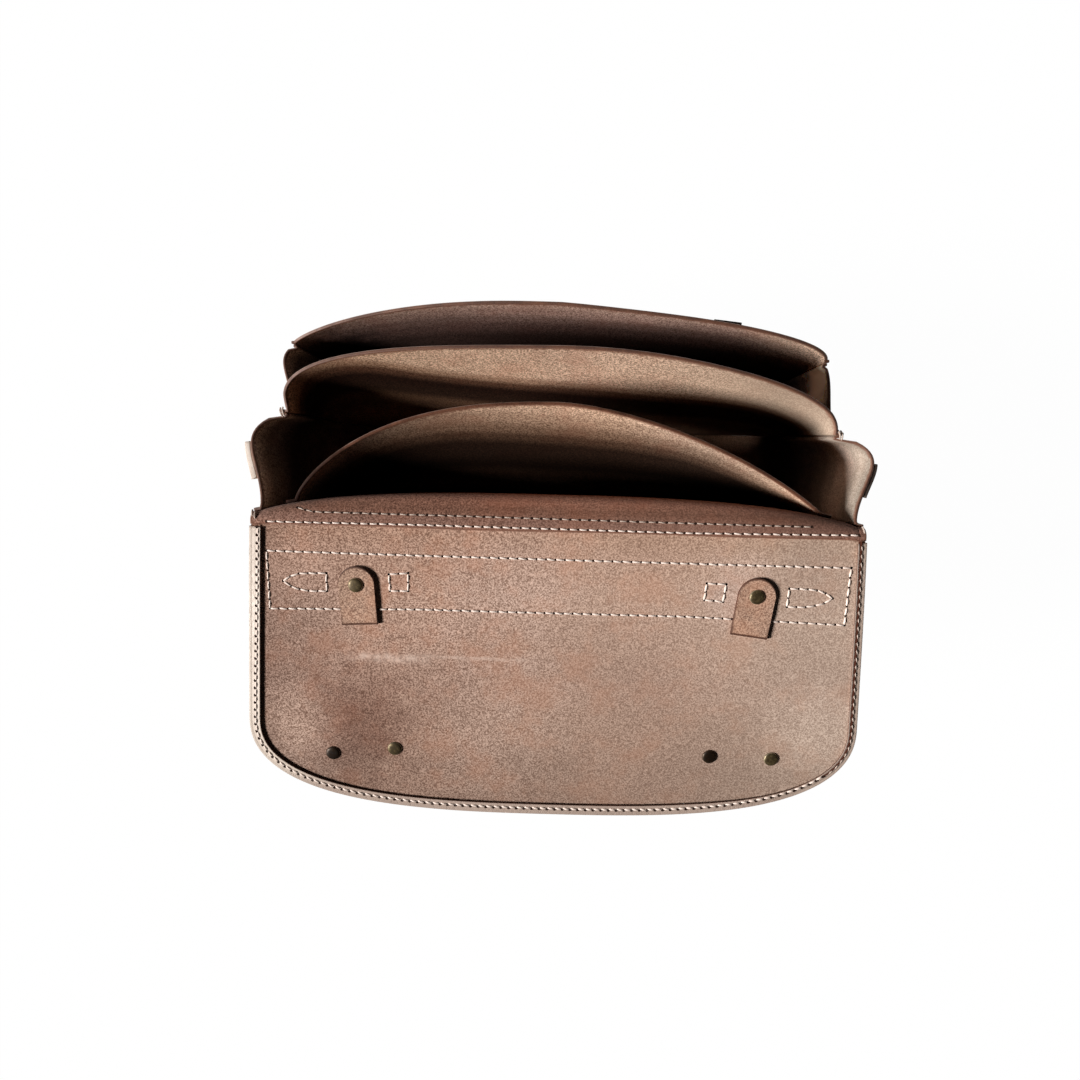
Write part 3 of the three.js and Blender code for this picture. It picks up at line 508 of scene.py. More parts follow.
# Smooth outer leather, the binding, and the straps
outerHide = {
    "pale": (0.46, 0.30, 0.19, 1), "deep": (0.30, 0.175, 0.10, 1), "scale": 1050.0,
    "edgeTint": (0.20, 0.09, 0.05, 1), "edgeReach": 0.003, "edgeAmount": 0.6,
}
bindingHide = {
    "pale": (0.56, 0.475, 0.41, 1), "deep": (0.42, 0.34, 0.285, 1), "scale": 1300.0,
    "edgeTint": (0.30, 0.19, 0.15, 1), "edgeReach": 0.0006, "edgeAmount": 0.6,
    # Tints: darker along the free end and towards the right, painted shade
    "tints": {"Y": [(-0.268, (0.72, 0.66, 0.65)), (-0.254, (0.72, 0.66, 0.65)), (-0.236, (1.0, 1.0, 1.0))],
              "X": [(0.12, (1.0, 1.0, 1.0)), (0.20, (0.84, 0.78, 0.76))]},
}
sideStrapHide = {
    "pale": (0.68, 0.59, 0.52, 1), "deep": (0.52, 0.43, 0.36, 1), "scale": 1200.0,
    "edgeTint": (0.28, 0.18, 0.13, 1), "edgeReach": 0.0012, "edgeAmount": 0.6,
    # Tints: the right strap darker, painted shade
    "tints": {"X": [(-0.02, (1.0, 1.0, 1.0)), (0.02, (0.30, 0.24, 0.22))]},
}
frontStrapHide = {
    "pale": (0.085, 0.05, 0.033, 1), "deep": (0.045, 0.026, 0.017, 1), "scale": 1200.0,
    "edgeTint": (0.03, 0.018, 0.012, 1), "edgeReach": 0.0015, "edgeAmount": 0.6,
}


def hideFinish(name, look):
    material, tree, shader, place = newFinish(name)
    skin = useGroup(tree, hideGrain, {"Place": place, "Pale": look["pale"], "Deep": look["deep"],
                                      "Scale": look["scale"]})
    parts = addNode(tree, "ShaderNodeSeparateXYZ", feeds={0: place}).outputs
    # Tints along the axes: painted shade
    colour = addAxisTints(tree, skin["Color"], parts, look.get("tints", {}))
    tree.links.new(addEdge(tree, colour, place, look), shader.inputs["Base Color"])
    tree.links.new(skin["Rough"], shader.inputs["Roughness"])
    shader.inputs["Specular IOR Level"].default_value = 0.4
    addBump(tree, shader, skin["Height"], "hide")
    return material


# Burnished cut edge with fibres; its pale line along the outer side is partly burnish and partly a painted
# highlight
cutEdge = {"pale": (0.17, 0.072, 0.043, 1), "deep": (0.060, 0.025, 0.016, 1), "rubbedSheen": (0.47, 0.36, 0.31, 1)}
tabCutEdge = {**cutEdge, "pale": (0.11, 0.045, 0.028, 1), "rubbedSheen": (0.11, 0.045, 0.028, 1)}
rollCutEdge = {**cutEdge, "pale": (0.30, 0.150, 0.102, 1), "deep": (0.17, 0.080, 0.054, 1)}
pocketCutEdge = {
    **cutEdge, "specular": 0.05,
    # Darker at the left end: painted shade
    "patches": [{"centre": (-0.184, -0.045, 0.271), "radius": 0.090, "tint": (0.12, 0.085, 0.075)}],
}
paleCutEdge = {
    "pale": (0.72, 0.63, 0.56, 1), "deep": (0.52, 0.42, 0.36, 1), "rubbedSheen": (0.74, 0.64, 0.57, 1),
    # Darker on the right side strap's edge: painted shade
    "patches": [{"centre": (0.216, 0.0, 0.240), "radius": 0.120, "tint": (0.10, 0.075, 0.065)}],
}


def edgeFinish(name, look):
    material, tree, shader, place = newFinish(name)
    fibres = addNoise(tree, place, 1500.0, 3.0, 0.7)
    patches = addNoise(tree, place, 60.0, 4.0, 0.6)
    share = addMath(tree, "ADD", addRange(tree, fibres, 0.35, 0.65, 0.0, 0.6),
                    addRange(tree, patches, 0.35, 0.65, 0.0, 0.5), True)
    colour = addMix(tree, share, look["pale"], look["deep"])
    # A pale line along the outer side of the edge, partly burnish and partly a painted highlight
    across = addRange(tree, readAttribute(tree, "edgeAcross"), 0.52, 0.82, 0.0, 0.85)
    rubbedSheen = addMath(tree, "MULTIPLY", across, addRange(tree, patches, 0.35, 0.65, 1.0, 0.55))
    colour = addMix(tree, rubbedSheen, colour, look["rubbedSheen"])
    tree.links.new(addPatches(tree, colour, place, look.get("patches", ())), shader.inputs["Base Color"])
    tree.links.new(addRange(tree, patches, 0.3, 0.7, 0.5, 0.75), shader.inputs["Roughness"])
    shader.inputs["Specular IOR Level"].default_value = look.get("specular", 0.5)
    addBump(tree, shader, fibres, "edge")
    return material


# Cream thread, the awl holes, and darkened brass
threadLook = {"pale": (0.84, 0.71, 0.64, 1), "deep": (0.64, 0.50, 0.43, 1)}
dullThread = {"pale": (0.52, 0.42, 0.36, 1), "deep": (0.36, 0.27, 0.225, 1)}
holeLook = {"pale": (0.034, 0.016, 0.011, 1), "deep": (0.014, 0.007, 0.005, 1)}
grooveLook = {"pale": (0.110, 0.036, 0.021, 1), "deep": (0.050, 0.018, 0.011, 1)}
brassLook = {
    "patina": (0.062, 0.043, 0.020, 1), "metal": (0.175, 0.130, 0.062, 1), "worn": (0.42, 0.36, 0.25, 1),
    "patches": [{"centre": (-0.1544, -0.2246, 0.270), "radius": 0.016, "tint": (0.18, 0.12, 0.12)},
                {"centre": (0.1130, -0.2164, 0.270), "radius": 0.016, "tint": (0.20, 0.14, 0.14)}],
}


def threadFinish(name, look):
    material, tree, shader, place = newFinish(name)
    fibre = addNoise(tree, place, 2600.0, 2.0, 0.6)
    wear = addNoise(tree, place, 130.0, 3.0, 0.6)
    share = addMath(tree, "ADD", addRange(tree, fibre, 0.4, 0.7, 0.0, 0.45),
                    addRange(tree, wear, 0.5, 0.75, 0.0, 0.5), True)
    tree.links.new(addMix(tree, share, look["pale"], look["deep"]), shader.inputs["Base Color"])
    tree.links.new(addRange(tree, fibre, 0.3, 0.7, 0.62, 0.85), shader.inputs["Roughness"])
    addBump(tree, shader, fibre, "thread")
    return material


def holeFinish(name, look):
    material, tree, shader, place = newFinish(name)
    grit = addNoise(tree, place, 1800.0, 2.0, 0.6)
    tree.links.new(addMix(tree, grit, look["deep"], look["pale"]), shader.inputs["Base Color"])
    tree.links.new(addRange(tree, grit, 0.3, 0.7, 0.85, 1.0), shader.inputs["Roughness"])
    shader.inputs["Specular IOR Level"].default_value = 0.1
    return material


def brassFinish():
    material, tree, shader, place = newFinish("darkBrass")
    rim = readAttribute(tree, "rimShare")
    spots = addNoise(tree, place, 480.0, 4.0, 0.65)
    bare = addRange(tree, spots, 0.42, 0.7, 0.0, 1.0)
    colour = addMix(tree, bare, brassLook["patina"], brassLook["metal"])
    rubbedSheen = addMath(tree, "MULTIPLY", addRange(tree, rim, 0.55, 1.0, 0.0, 1.0),
                     addRange(tree, spots, 0.3, 0.6, 0.5, 1.0))
    colour = addMix(tree, rubbedSheen, colour, brassLook["worn"])
    tree.links.new(addPatches(tree, colour, place, brassLook["patches"]), shader.inputs["Base Color"])
    shader.inputs["Metallic"].default_value = 0.6
    tree.links.new(addRange(tree, spots, 0.3, 0.7, 0.52, 0.34), shader.inputs["Roughness"])
    addBump(tree, shader, spots, "brass")
    return material


def floorFinish():
    material, tree, shader, _ = newFinish("paleFloor")
    shader.inputs["Base Color"].default_value = (*studio["floorColour"], 1)
    shader.inputs["Roughness"].default_value = studio["floorRoughness"]
    glow = addNode(tree, "ShaderNodeEmission", feeds={0: (1, 1, 1, 1), 1: 1.0})
    path = addNode(tree, "ShaderNodeLightPath")
    share = addMath(tree, "MULTIPLY", path.outputs["Is Camera Ray"], studio["floorGlow"])
    both = addNode(tree, "ShaderNodeMixShader", feeds={0: share, 1: shader.outputs[0], 2: glow.outputs[0]})
    output = [node for node in tree.nodes if node.type == "OUTPUT_MATERIAL"][0]
    tree.links.new(both.outputs[0], output.inputs[0])
    return material


# Tints along the width and the depth, painted light and shade (on the roll also wear from the fold), and pale
# scuffs
flapPaintedLightAndShade = {
    "X": [(-0.205, (0.60, 0.55, 0.545)), (-0.170, (0.69, 0.65, 0.65)), (-0.120, (0.90, 0.85, 0.84)),
          (0.05, (0.95, 0.94, 0.94)), (0.20, (1.04, 1.12, 1.15))],
    "Y": [(-0.262, (0.64, 0.64, 0.64)), (-0.235, (0.70, 0.70, 0.70)), (-0.200, (0.80, 0.80, 0.80)),
          (-0.165, (0.87, 0.87, 0.88)), (-0.130, (0.97, 0.98, 0.99)), (-0.110, (1.03, 1.05, 1.06)),
          (-0.080, (1.0, 0.99, 0.98)), (-0.062, (0.94, 0.90, 0.86))],
}
# Darker and redder over the roll, partly wear from the fold and partly painted shade; darker at the right
# end, painted shade
rollWearAndPaintedShade = {
    "X": [(-0.20, (1.0, 1.0, 1.0)), (0.10, (1.0, 1.0, 1.0)), (0.19, (0.76, 0.70, 0.68))],
    "Y": [(-0.0600, (0.66, 0.55, 0.53)), (-0.0535, (0.46, 0.37, 0.36)), (-0.046, (0.40, 0.28, 0.24)),
          (-0.039, (0.74, 0.51, 0.44)), (-0.030, (1.4, 1.05, 0.92))],
}
# Darker towards both ends: painted shade
dividerPaintedShade = {
    "X": [(-0.20, (0.80, 0.68, 0.58)), (-0.14, (0.98, 0.92, 0.85)), (-0.06, (1.0, 0.98, 0.95)),
          (0.02, (1.0, 1.0, 1.0)), (0.10, (0.92, 0.94, 0.94)), (0.16, (0.66, 0.70, 0.71)),
          (0.20, (0.60, 0.66, 0.69))],
}
# Lighter towards the right: painted light
pocketPaintedLight = {
    "X": [(-0.18, (1.0, 1.0, 1.0)), (0.03, (1.0, 1.0, 1.0)), (0.10, (1.15, 1.27, 1.38)),
          (0.178, (1.03, 1.10, 1.13))],
}
# Lighter at the right end: painted light
frontPaintedLight = {
    "X": [(-0.19, (1.0, 1.0, 1.0)), (0.11, (1.0, 1.0, 1.0)), (0.16, (1.35, 1.45, 1.40)),
          (0.19, (1.45, 1.55, 1.50))],
}
flapScuffs = [
    {"centre": (-0.113, -0.151, 0.26), "turn": 0.02, "length": 0.038, "width": 0.0056, "amount": 0.55,
     "colour": (0.70, 0.54, 0.46, 1)},
    {"centre": (-0.052, -0.149, 0.26), "turn": 0.01, "length": 0.046, "width": 0.0022, "amount": 0.40,
     "colour": (0.70, 0.54, 0.46, 1)},
]
dividerScuffs = [
    {"centre": (0.166, 0.047, 0.26), "turn": -0.12, "length": 0.009, "width": 0.0007, "amount": 0.9,
     "colour": (0.78, 0.62, 0.50, 1)},
]
finishFlap = suedeFinish("suedeFlap", flapSuede, flapPaintedLightAndShade, flapScuffs)
finishInner = suedeFinish("suedeInside", innerSuede)
finishDivider = suedeFinish("suedeDivider", dividerSuede, dividerPaintedShade, dividerScuffs)
finishPocket = suedeFinish("suedePocket", pocketSuede, pocketPaintedLight)
finishFront = suedeFinish("suedeFront", frontSuede, frontPaintedLight)
finishGusset = suedeFinish("suedeGusset", gussetSuede)
finishTab = suedeFinish("suedeTab", tabSuede)
finishRoll = suedeFinish("suedeRoll", rollSuede, rollWearAndPaintedShade)
finishOuter = hideFinish("hideOuter", outerHide)
finishBinding = hideFinish("hideBinding", bindingHide)
finishSideStrap = hideFinish("hideSideStrap", sideStrapHide)
finishFrontStrap = hideFinish("hideFrontStrap", frontStrapHide)
finishEdge = edgeFinish("edgeBurnished", cutEdge)
finishTabEdge = edgeFinish("edgeTab", tabCutEdge)
finishRollEdge = edgeFinish("edgeRoll", rollCutEdge)
finishPocketEdge = edgeFinish("edgePocket", pocketCutEdge)
finishPaleEdge = edgeFinish("edgePale", paleCutEdge)
finishThread = threadFinish("threadCream", threadLook)
finishDullThread = threadFinish("threadDull", dullThread)
finishHole = holeFinish("awlHole", holeLook)
finishGroove = holeFinish("awlGroove", grooveLook)
finishBrass = brassFinish()
setCamera()
setStudio()
print("finishes, camera and studio: done")


# Mesh helpers
def placePiece(piece, nodes):
    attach(piece, "root")
    if nodes:
        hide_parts(*nodes)


def newObject(name, mesh):
    made = bpy.data.objects.new(name, mesh)
    bpy.context.scene.collection.objects.link(made)
    return made


def unitWays(ways):
    return ways / np.maximum(np.linalg.norm(ways, axis=-1, keepdims=True), 1e-12)


def gridNormals(points):
    diagonalA = points[1:, 1:] - points[:-1, :-1]
    diagonalB = points[1:, :-1] - points[:-1, 1:]
    faces = unitWays(np.cross(diagonalA, diagonalB))
    total = np.zeros_like(points)
    total[:-1, :-1] += faces
    total[1:, :-1] += faces
    total[:-1, 1:] += faces
    total[1:, 1:] += faces
    return unitWays(total)


def edgeWay(points):
    way = np.zeros_like(points)
    way[0] += unitWays(points[0] - points[1])
    way[-1] += unitWays(points[-1] - points[-2])
    way[:, 0] += unitWays(points[:, 0] - points[:, 1])
    way[:, -1] += unitWays(points[:, -1] - points[:, -2])
    return unitWays(way)


def gridEdgeDistance(points, cutSides):
    rowSteps = np.linalg.norm(np.diff(points, axis=0), axis=2)
    columnSteps = np.linalg.norm(np.diff(points, axis=1), axis=2)
    down = np.concatenate([np.zeros((1, points.shape[1])), np.cumsum(rowSteps, axis=0)], axis=0)
    over = np.concatenate([np.zeros((points.shape[0], 1)), np.cumsum(columnSteps, axis=1)], axis=1)
    reaches = {"first": down, "last": down[-1:] - down, "left": over, "right": over[:, -1:] - over}
    return np.min([reaches[side] for side in cutSides], axis=0)


# Rows of points, each worked out from its shares down and over
def gridOf(shape, point):
    rows, columns = shape["rows"], shape["columns"]
    places = [column / columns for column in range(columns + 1)]
    return [[point(row / rows, over) for over in places] for row in range(rows + 1)]


def turnOut(mesh):
    build = bmesh.new()
    build.from_mesh(mesh)
    bmesh.ops.recalc_face_normals(build, faces=build.faces)
    if build.calc_volume(signed=True) < 0:
        bmesh.ops.reverse_faces(build, faces=build.faces)
    build.to_mesh(mesh)
    build.free()


def solidPiece(name, vertices, faces, attributes, finishes=(), kinds=None):
    mesh = bpy.data.meshes.new(name)
    mesh.from_pydata((np.array(vertices, float) * mm).tolist(), [], faces)
    for finish in finishes:
        mesh.materials.append(finish)
    if kinds:
        mesh.polygons.foreach_set("material_index", kinds)
    for label, values in attributes.items():
        made = mesh.attributes.new(label, "FLOAT", "POINT")
        made.data.foreach_set("value", np.array(values, np.float32))
    mesh.shade_smooth()
    turnOut(mesh)
    return newObject(name, mesh)


# Closed sheet with rounded edges; finishes are for the flesh side, the smooth side and the cut edge
shell = {"turns": 3, "bevelShare": 0.95, "cutSides": ("first", "last", "left", "right")}


def sheetShell(name, grid, thick, finishes, flesh=1, roundness=0.6, rims=("last",)):
    points = np.array(grid, float)
    rows, columns = points.shape[:2]
    normal = gridNormals(points)
    half = thick / 2
    bevel = min(roundness, half * shell["bevelShare"])
    way = edgeWay(points)
    rim = [(0, c) for c in range(columns - 1)] + [(r, columns - 1) for r in range(rows - 1)]
    rim += [(rows - 1, c) for c in range(columns - 1, 0, -1)] + [(r, 0) for r in range(rows - 1, 0, -1)]
    inset = points.copy()
    for r, c in rim:
        inset[r, c] -= way[r, c] * bevel
    plus = (inset + normal * half).reshape(-1, 3)
    minus = (inset - normal * half).reshape(-1, 3)
    rimR = np.array([r for r, c in rim])
    rimC = np.array([c for r, c in rim])
    base = points[rimR, rimC]
    rimNormal = normal[rimR, rimC]
    rimWay = way[rimR, rimC]
    loops = []
    for step in range(1, shell["turns"] + 1):
        angle = math.pi / 2 * step / shell["turns"]
        lift = half - bevel + bevel * math.cos(angle)
        out = bevel * math.sin(angle) - bevel
        loops.append((lift, out))
    loops += [(-lift, out) for lift, out in reversed(loops)]
    rings = [base + rimNormal * lift + rimWay * out for lift, out in loops]
    vertices = np.concatenate([plus, minus, *rings])
    under = rows * columns
    count = len(rim)
    sideKinds = [0, 1] if flesh > 0 else [1, 0]
    faces, kinds = [], []
    for r in range(rows - 1):
        for c in range(columns - 1):
            a = r * columns + c
            b, d = a + 1, a + columns
            e = d + 1
            faces.append((a, b, e, d))
            faces.append((a + under, d + under, e + under, b + under))
            kinds += sideKinds
    border = [r * columns + c for r, c in rim]
    bands = [border]
    for ring in range(len(loops)):
        start = 2 * under + ring * count
        bands.append(list(range(start, start + count)))
    bands.append([place + under for place in border])
    for upper, lower in zip(bands[:-1], bands[1:]):
        for place in range(count):
            following = (place + 1) % count
            faces.append((upper[place], lower[place], lower[following], upper[following]))
            kinds.append(2)
    attributes = {}
    # edgeDist feeds the edge burnish; rimDist, the distance from the rims, is what the suede's painted shade
    # goes by
    for label, sides in (("edgeDist", shell["cutSides"]), ("rimDist", rims)):
        reach = gridEdgeDistance(points, sides).reshape(-1) * mm
        attributes[label] = np.concatenate([reach, reach, np.tile(reach[border], len(loops))])
    across = [np.full(under, float(kind)) for kind in sideKinds]
    for ring in range(len(loops)):
        share = (ring + 1) / (len(loops) + 1)
        across.append(np.full(count, share if flesh > 0 else 1 - share))
    attributes["edgeAcross"] = np.concatenate(across)
    return solidPiece(name, vertices, faces, attributes, finishes, kinds)


# Slow uneven waves of soft leather
ripple = {"across": (47.0, 29.0), "up": (39.0, 33.0), "phases": (1.7, 0.9, 2.3), "shares": (0.6, 0.4)}


def softWave(x, z, seed):
    turnX, turnZ, turnBoth = (phase * seed for phase in ripple["phases"])
    one = math.sin(x / ripple["across"][0] + turnX) * math.sin(z / ripple["up"][0] + turnZ)
    two = math.sin(x / ripple["across"][1] - z / ripple["up"][1] + turnBoth)
    return ripple["shares"][0] * one + ripple["shares"][1] * two


def looseWave(shape, angle, past, up, x, z):
    loose = 0.0 if past > 0 else math.sin(angle)
    loose *= softStep((up - shape["looseFrom"]) / shape["looseOver"])
    return shape["wave"] * loose * softWave(x, z, shape["seed"])


# Panels: side 0 is left and side 1 is right; a seam's flange narrows towards its top
def flangeShare(shape, z):
    return 1 - shape["taper"] * softStep((z - shape["seamTop"] + seam["taperFrom"]) / seam["taperOver"])


def rootHalf(shape, side, z):
    start = seam["floor"] + seam["corner"]
    share = clamp01((z - start) / (shape["seamTop"] - start))
    return between(shape["low"][side], shape["high"][side], share)


def bowHalf(shape, side, z):
    root = rootHalf(shape, side, z)
    shoulder = shape.get("shoulder")
    if not shoulder:
        return root
    free = clamp01((z - shape["seamTop"] + seam["freeFrom"]) / seam["freeOver"])
    return root - between(shoulder["sewn"], shoulder["free"][side], free)


def bottomEdge(shape, side, x):
    reach = seam["corner"] + seam["width"]
    past = abs(x) - (shape["low"][side] - seam["corner"])
    level = seam["floor"] + seam["corner"]
    if past <= 0:
        return level - reach
    return level - math.sqrt(max(0.0, reach * reach - past * past))


def bowRise(shape, side, angle):
    return math.sin(angle) ** (2 / shape["bow"][side][1])


def bowAcross(shape, side, angle):
    return max(0.0, math.cos(angle)) ** (2 / shape["bow"][side][0])


def angleAt(shape, side, share):
    return math.acos(clamp01(share) ** (shape["bow"][side][0] / 2))


def panelY(shape, x, rise, up, z):
    across = softStep(0.5 + x / (shape["high"][0] + shape["high"][1]))
    topY = between(shape["topY"][0], shape["topY"][1], across)
    seamY = between(shape["baseY"], topY, clamp01(z / shape["seamTop"]))
    risen = clamp01((up - seam["flat"]) / (1 - seam["flat"]))
    return seamY + (shape["crestY"] - topY) * rise * risen ** shape["growth"]


def panelPoint(shape, side, angle, past, up):
    sign = -1 if side == 0 else 1
    lowX = shape["low"][side] + past if past > 0 else shape["low"][side] * bowAcross(shape, side, angle)
    low = bottomEdge(shape, side, lowX)
    rise = 0.0 if past > 0 else bowRise(shape, side, angle)
    top = between(shape["cornerTop"], shape["crestTop"], rise ** shape["topArch"])
    z = between(low, top, up)
    x = rootHalf(shape, side, z) + past * flangeShare(shape, z)
    if past <= 0:
        x = bowHalf(shape, side, z) * bowAcross(shape, side, angle)
    return sign * x, panelY(shape, sign * x, rise, up, z), z


def panelDepth(shape, x, z):
    side = 0 if x < 0 else 1
    share = abs(x) / bowHalf(shape, side, z)
    angle = 0.0 if share >= 1 else angleAt(shape, side, share)
    rise = bowRise(shape, side, angle)
    low = bottomEdge(shape, side, x)
    top = between(shape["cornerTop"], shape["crestTop"], rise ** shape["topArch"])
    return panelY(shape, x, rise, clamp01((z - low) / (top - low)), z)


def panelColumns(steps, edge):
    quarter = math.pi / 2
    columns = [(0, 0.0, edge * share) for share in seam["columns"]]
    columns += [(0, quarter * step / steps, 0.0) for step in range(steps + 1)]
    columns += [(1, quarter * step / steps, 0.0) for step in range(steps - 1, -1, -1)]
    columns += [(1, 0.0, edge * share) for share in reversed(seam["columns"])]
    return columns


def plainPanelGrid(shape):
    grid = []
    for row in range(shape["rows"] + 1):
        up = row / shape["rows"]
        line = []
        for side, angle, past in panelColumns(shape["steps"], seam["width"]):
            x, y, z = panelPoint(shape, side, angle, past, up)
            line.append((x, y + looseWave(shape, angle, past, up, x, z), z))
        grid.append(line)
    return grid


# Divider between the two compartments
dividerShape = {
    "low": (197, 197), "high": (191.5, 192.5), "seamTop": 246, "baseY": 12, "topY": (17, 10), "crestY": 60.2,
    "bow": ((3.0, 2.8), (1.9, 1.9)), "growth": 2.2, "cornerTop": 249, "crestTop": 280, "topArch": 1.4,
    "shoulder": {"sewn": 3.6, "free": (0, -1.5)}, "taper": 0.35, "steps": 60, "rows": 56,
    "wave": 0.7, "seed": 1.0, "looseFrom": 0.1, "looseOver": 0.6,
}
finishes = (finishDivider, finishOuter, finishEdge)
piece = sheetShell("divider_panel", plainPanelGrid(dividerShape), leather["panel"], finishes)
placePiece(piece, ["divider"])

# Front panel
frontShape = {
    "low": (197, 195), "high": (194.5, 191), "seamTop": 217, "baseY": 52, "topY": (67.5, 62), "crestY": 92.6,
    "bow": ((2.6, 1.2), (1.2, 2.0)), "growth": 1.9, "cornerTop": 220, "crestTop": 253, "topArch": 1.0,
    "taper": 0.62, "steps": 60, "rows": 52, "wave": 0.6, "seed": 2.0, "looseFrom": 0.1, "looseOver": 0.6,
}
finishes = (finishFront, finishOuter, finishEdge)
piece = sheetShell("front_face", plainPanelGrid(frontShape), leather["panel"], finishes)
placePiece(piece, ["front_panel"])

# Back panel, whose top rolls over onto the flap
backShape = {
    "low": (197, 197), "high": (199, 199), "seamTop": 277, "baseY": -52, "topY": (-52, -52), "crestY": -35,
    "bow": ((3.0, 1.2), (3.0, 1.2)), "growth": 1.5, "cornerTop": 280, "crestTop": 284, "topArch": 1.0,
    "taper": 0.2, "steps": 60, "rows": 44, "bendSteps": 14, "tailSteps": 5,
    "rollMiddle": 15, "rollEnd": 5, "rollReach": 205, "rollPower": 3, "endDrop": 2.4,
    "cutY": -59, "leastTail": 2, "cutWave": 0.35, "cutWaveLength": 31.0,
}


def rollShare(x):
    return min(1.0, abs(x) / backShape["rollReach"]) ** backShape["rollPower"]


def rollTop(x):
    return backShape["crestTop"] - backShape["endDrop"] * rollShare(x)


def rollBend(x):
    return between(backShape["rollMiddle"], backShape["rollEnd"], rollShare(x))


def rollWallY(x):
    return panelDepth(backShape, x, rollTop(x) - rollBend(x))


# Height and direction of the roll's upper face at a plan place
def rollSkin(x, y, lift):
    bend = rollBend(x)
    centreY = rollWallY(x) - bend
    reach = bend + leather["panel"] / 2
    cosine = clamp01((y - centreY) / reach)
    sine = math.sqrt(1 - cosine * cosine)
    z = rollTop(x) - bend + (reach + lift) * sine
    return (x, y + lift * cosine, z), (0.0, cosine, sine)


def backPanelGrid():
    rows, bends, tails = backShape["rows"], backShape["bendSteps"], backShape["tailSteps"]
    grid = [[] for _ in range(rows + bends + tails + 1)]
    for side, angle, past in panelColumns(backShape["steps"], seam["width"]):
        foot = panelPoint(backShape, side, angle, past, 0.0)
        head = panelPoint(backShape, side, angle, past, 1.0)
        bend = rollBend(head[0])
        wallTop = rollTop(head[0]) - bend
        for row in range(rows + 1):
            up = (between(foot[2], wallTop, row / rows) - foot[2]) / (head[2] - foot[2])
            grid[row].append(panelPoint(backShape, side, angle, past, up))
        x, y, z = grid[rows][-1]
        for step in range(1, bends + 1):
            turn = math.pi / 2 * step / bends
            grid[rows + step].append((x, y - bend * (1 - math.cos(turn)), z + bend * math.sin(turn)))
        wave = backShape["cutWave"] * math.sin(x / backShape["cutWaveLength"])
        cut = min(backShape["cutY"], y - bend - backShape["leastTail"]) + wave * (1 - rollShare(x))
        for step in range(1, tails + 1):
            grid[rows + bends + step].append((x, between(y - bend, cut, step / tails), z + bend))
    return grid


finishes = (finishRoll, finishOuter, finishRollEdge)
piece = sheetShell("back_face", backPanelGrid(), leather["panel"], finishes, flesh=-1)
placePiece(piece, ["back_panel"])

# Pocket sheet, sewn to the back panel and gaping at the top
pocketShape = {
    "half": (177, 178), "hem": 7, "bottom": 72, "endTop": 270, "crestTop": 285, "crestGap": 58,
    "bow": ((2.3, 1.4), (1.6, 1.05)), "growth": 1.8, "steps": 60, "rows": 48, "wallTop": 272, "sewn": 0.06,
    "stand": 0.35, "wave": 0.7, "seed": 4.0, "looseFrom": 0.3, "looseOver": 0.5,
}


def pocketPoint(side, angle, past, up):
    sign = -1 if side == 0 else 1
    rise = 0.0 if past > 0 else bowRise(pocketShape, side, angle)
    x = sign * (pocketShape["half"][side] * bowAcross(pocketShape, side, angle) + past)
    z = between(pocketShape["bottom"], between(pocketShape["endTop"], pocketShape["crestTop"], rise), up)
    wallY = panelDepth(backShape, x, min(z, pocketShape["wallTop"])) + leather["panel"] + leather["gap"]
    free = clamp01((up - pocketShape["sewn"]) / (1 - pocketShape["sewn"]))
    gape = pocketShape["crestGap"] * rise * free ** pocketShape["growth"]
    wave = looseWave(pocketShape, angle, past, up, x, z)
    return x, wallY + gape + pocketShape["stand"] * rise + wave, z


grid = []
for row in range(pocketShape["rows"] + 1):
    columns = panelColumns(pocketShape["steps"], pocketShape["hem"])
    grid.append([pocketPoint(side, angle, past, row / pocketShape["rows"]) for side, angle, past in columns])
finishes = (finishPocket, finishOuter, finishPocketEdge)
piece = sheetShell("pocket_sheet", grid, leather["panel"], finishes)
placePiece(piece, ["pocket_panel"])
print("panels: divider, front, back and pocket done")

# Bellows gussets, one behind the divider and one in front of it
rearGusset = {
    "near": backShape, "far": dividerShape, "nearTop": 276, "farTop": 245, "bulge": (20, 22), "skew": 2.4,
}
frontGusset = {
    "near": dividerShape, "far": frontShape, "nearTop": 235, "farTop": 216, "bulge": (8.5, 2.5), "skew": 2.6,
}
gussetMesh = {
    "side": 44, "corner": 14, "floor": 36, "web": 26, "bend": 1.5, "turns": (0.0, 0.25, 0.5, 0.75, 1.0),
    "flange": (1.0, 0.62, 0.3), "bulgeHeight": 1.3, "bulgeRound": 0.6, "roundness": 0.5,
}


def seamRoot(shape, part, side, share, endTop):
    sign = -1 if side == 0 else 1
    level = seam["floor"] + seam["corner"]
    if part == "side":
        z = between(endTop, level, share)
        return sign * rootHalf(shape, side, z), z, sign, 0.0
    if part == "corner":
        turn = math.pi / 2 * share
        outX, outZ = sign * math.cos(turn), -math.sin(turn)
        middle = sign * (shape["low"][side] - seam["corner"])
        return middle + outX * seam["corner"], level + outZ * seam["corner"], outX, outZ
    start = -(shape["low"][0] - seam["corner"])
    return between(start, shape["low"][1] - seam["corner"], share), seam["floor"], 0.0, -1.0


seamStand = leather["panel"] / 2 + leather["gusset"] / 2 + seam["clear"]


def onSeam(shape, root, out, stand):
    x = root[0] + root[2] * out
    z = root[1] + root[3] * out
    return np.array((x, panelDepth(shape, x, z) + stand, z))


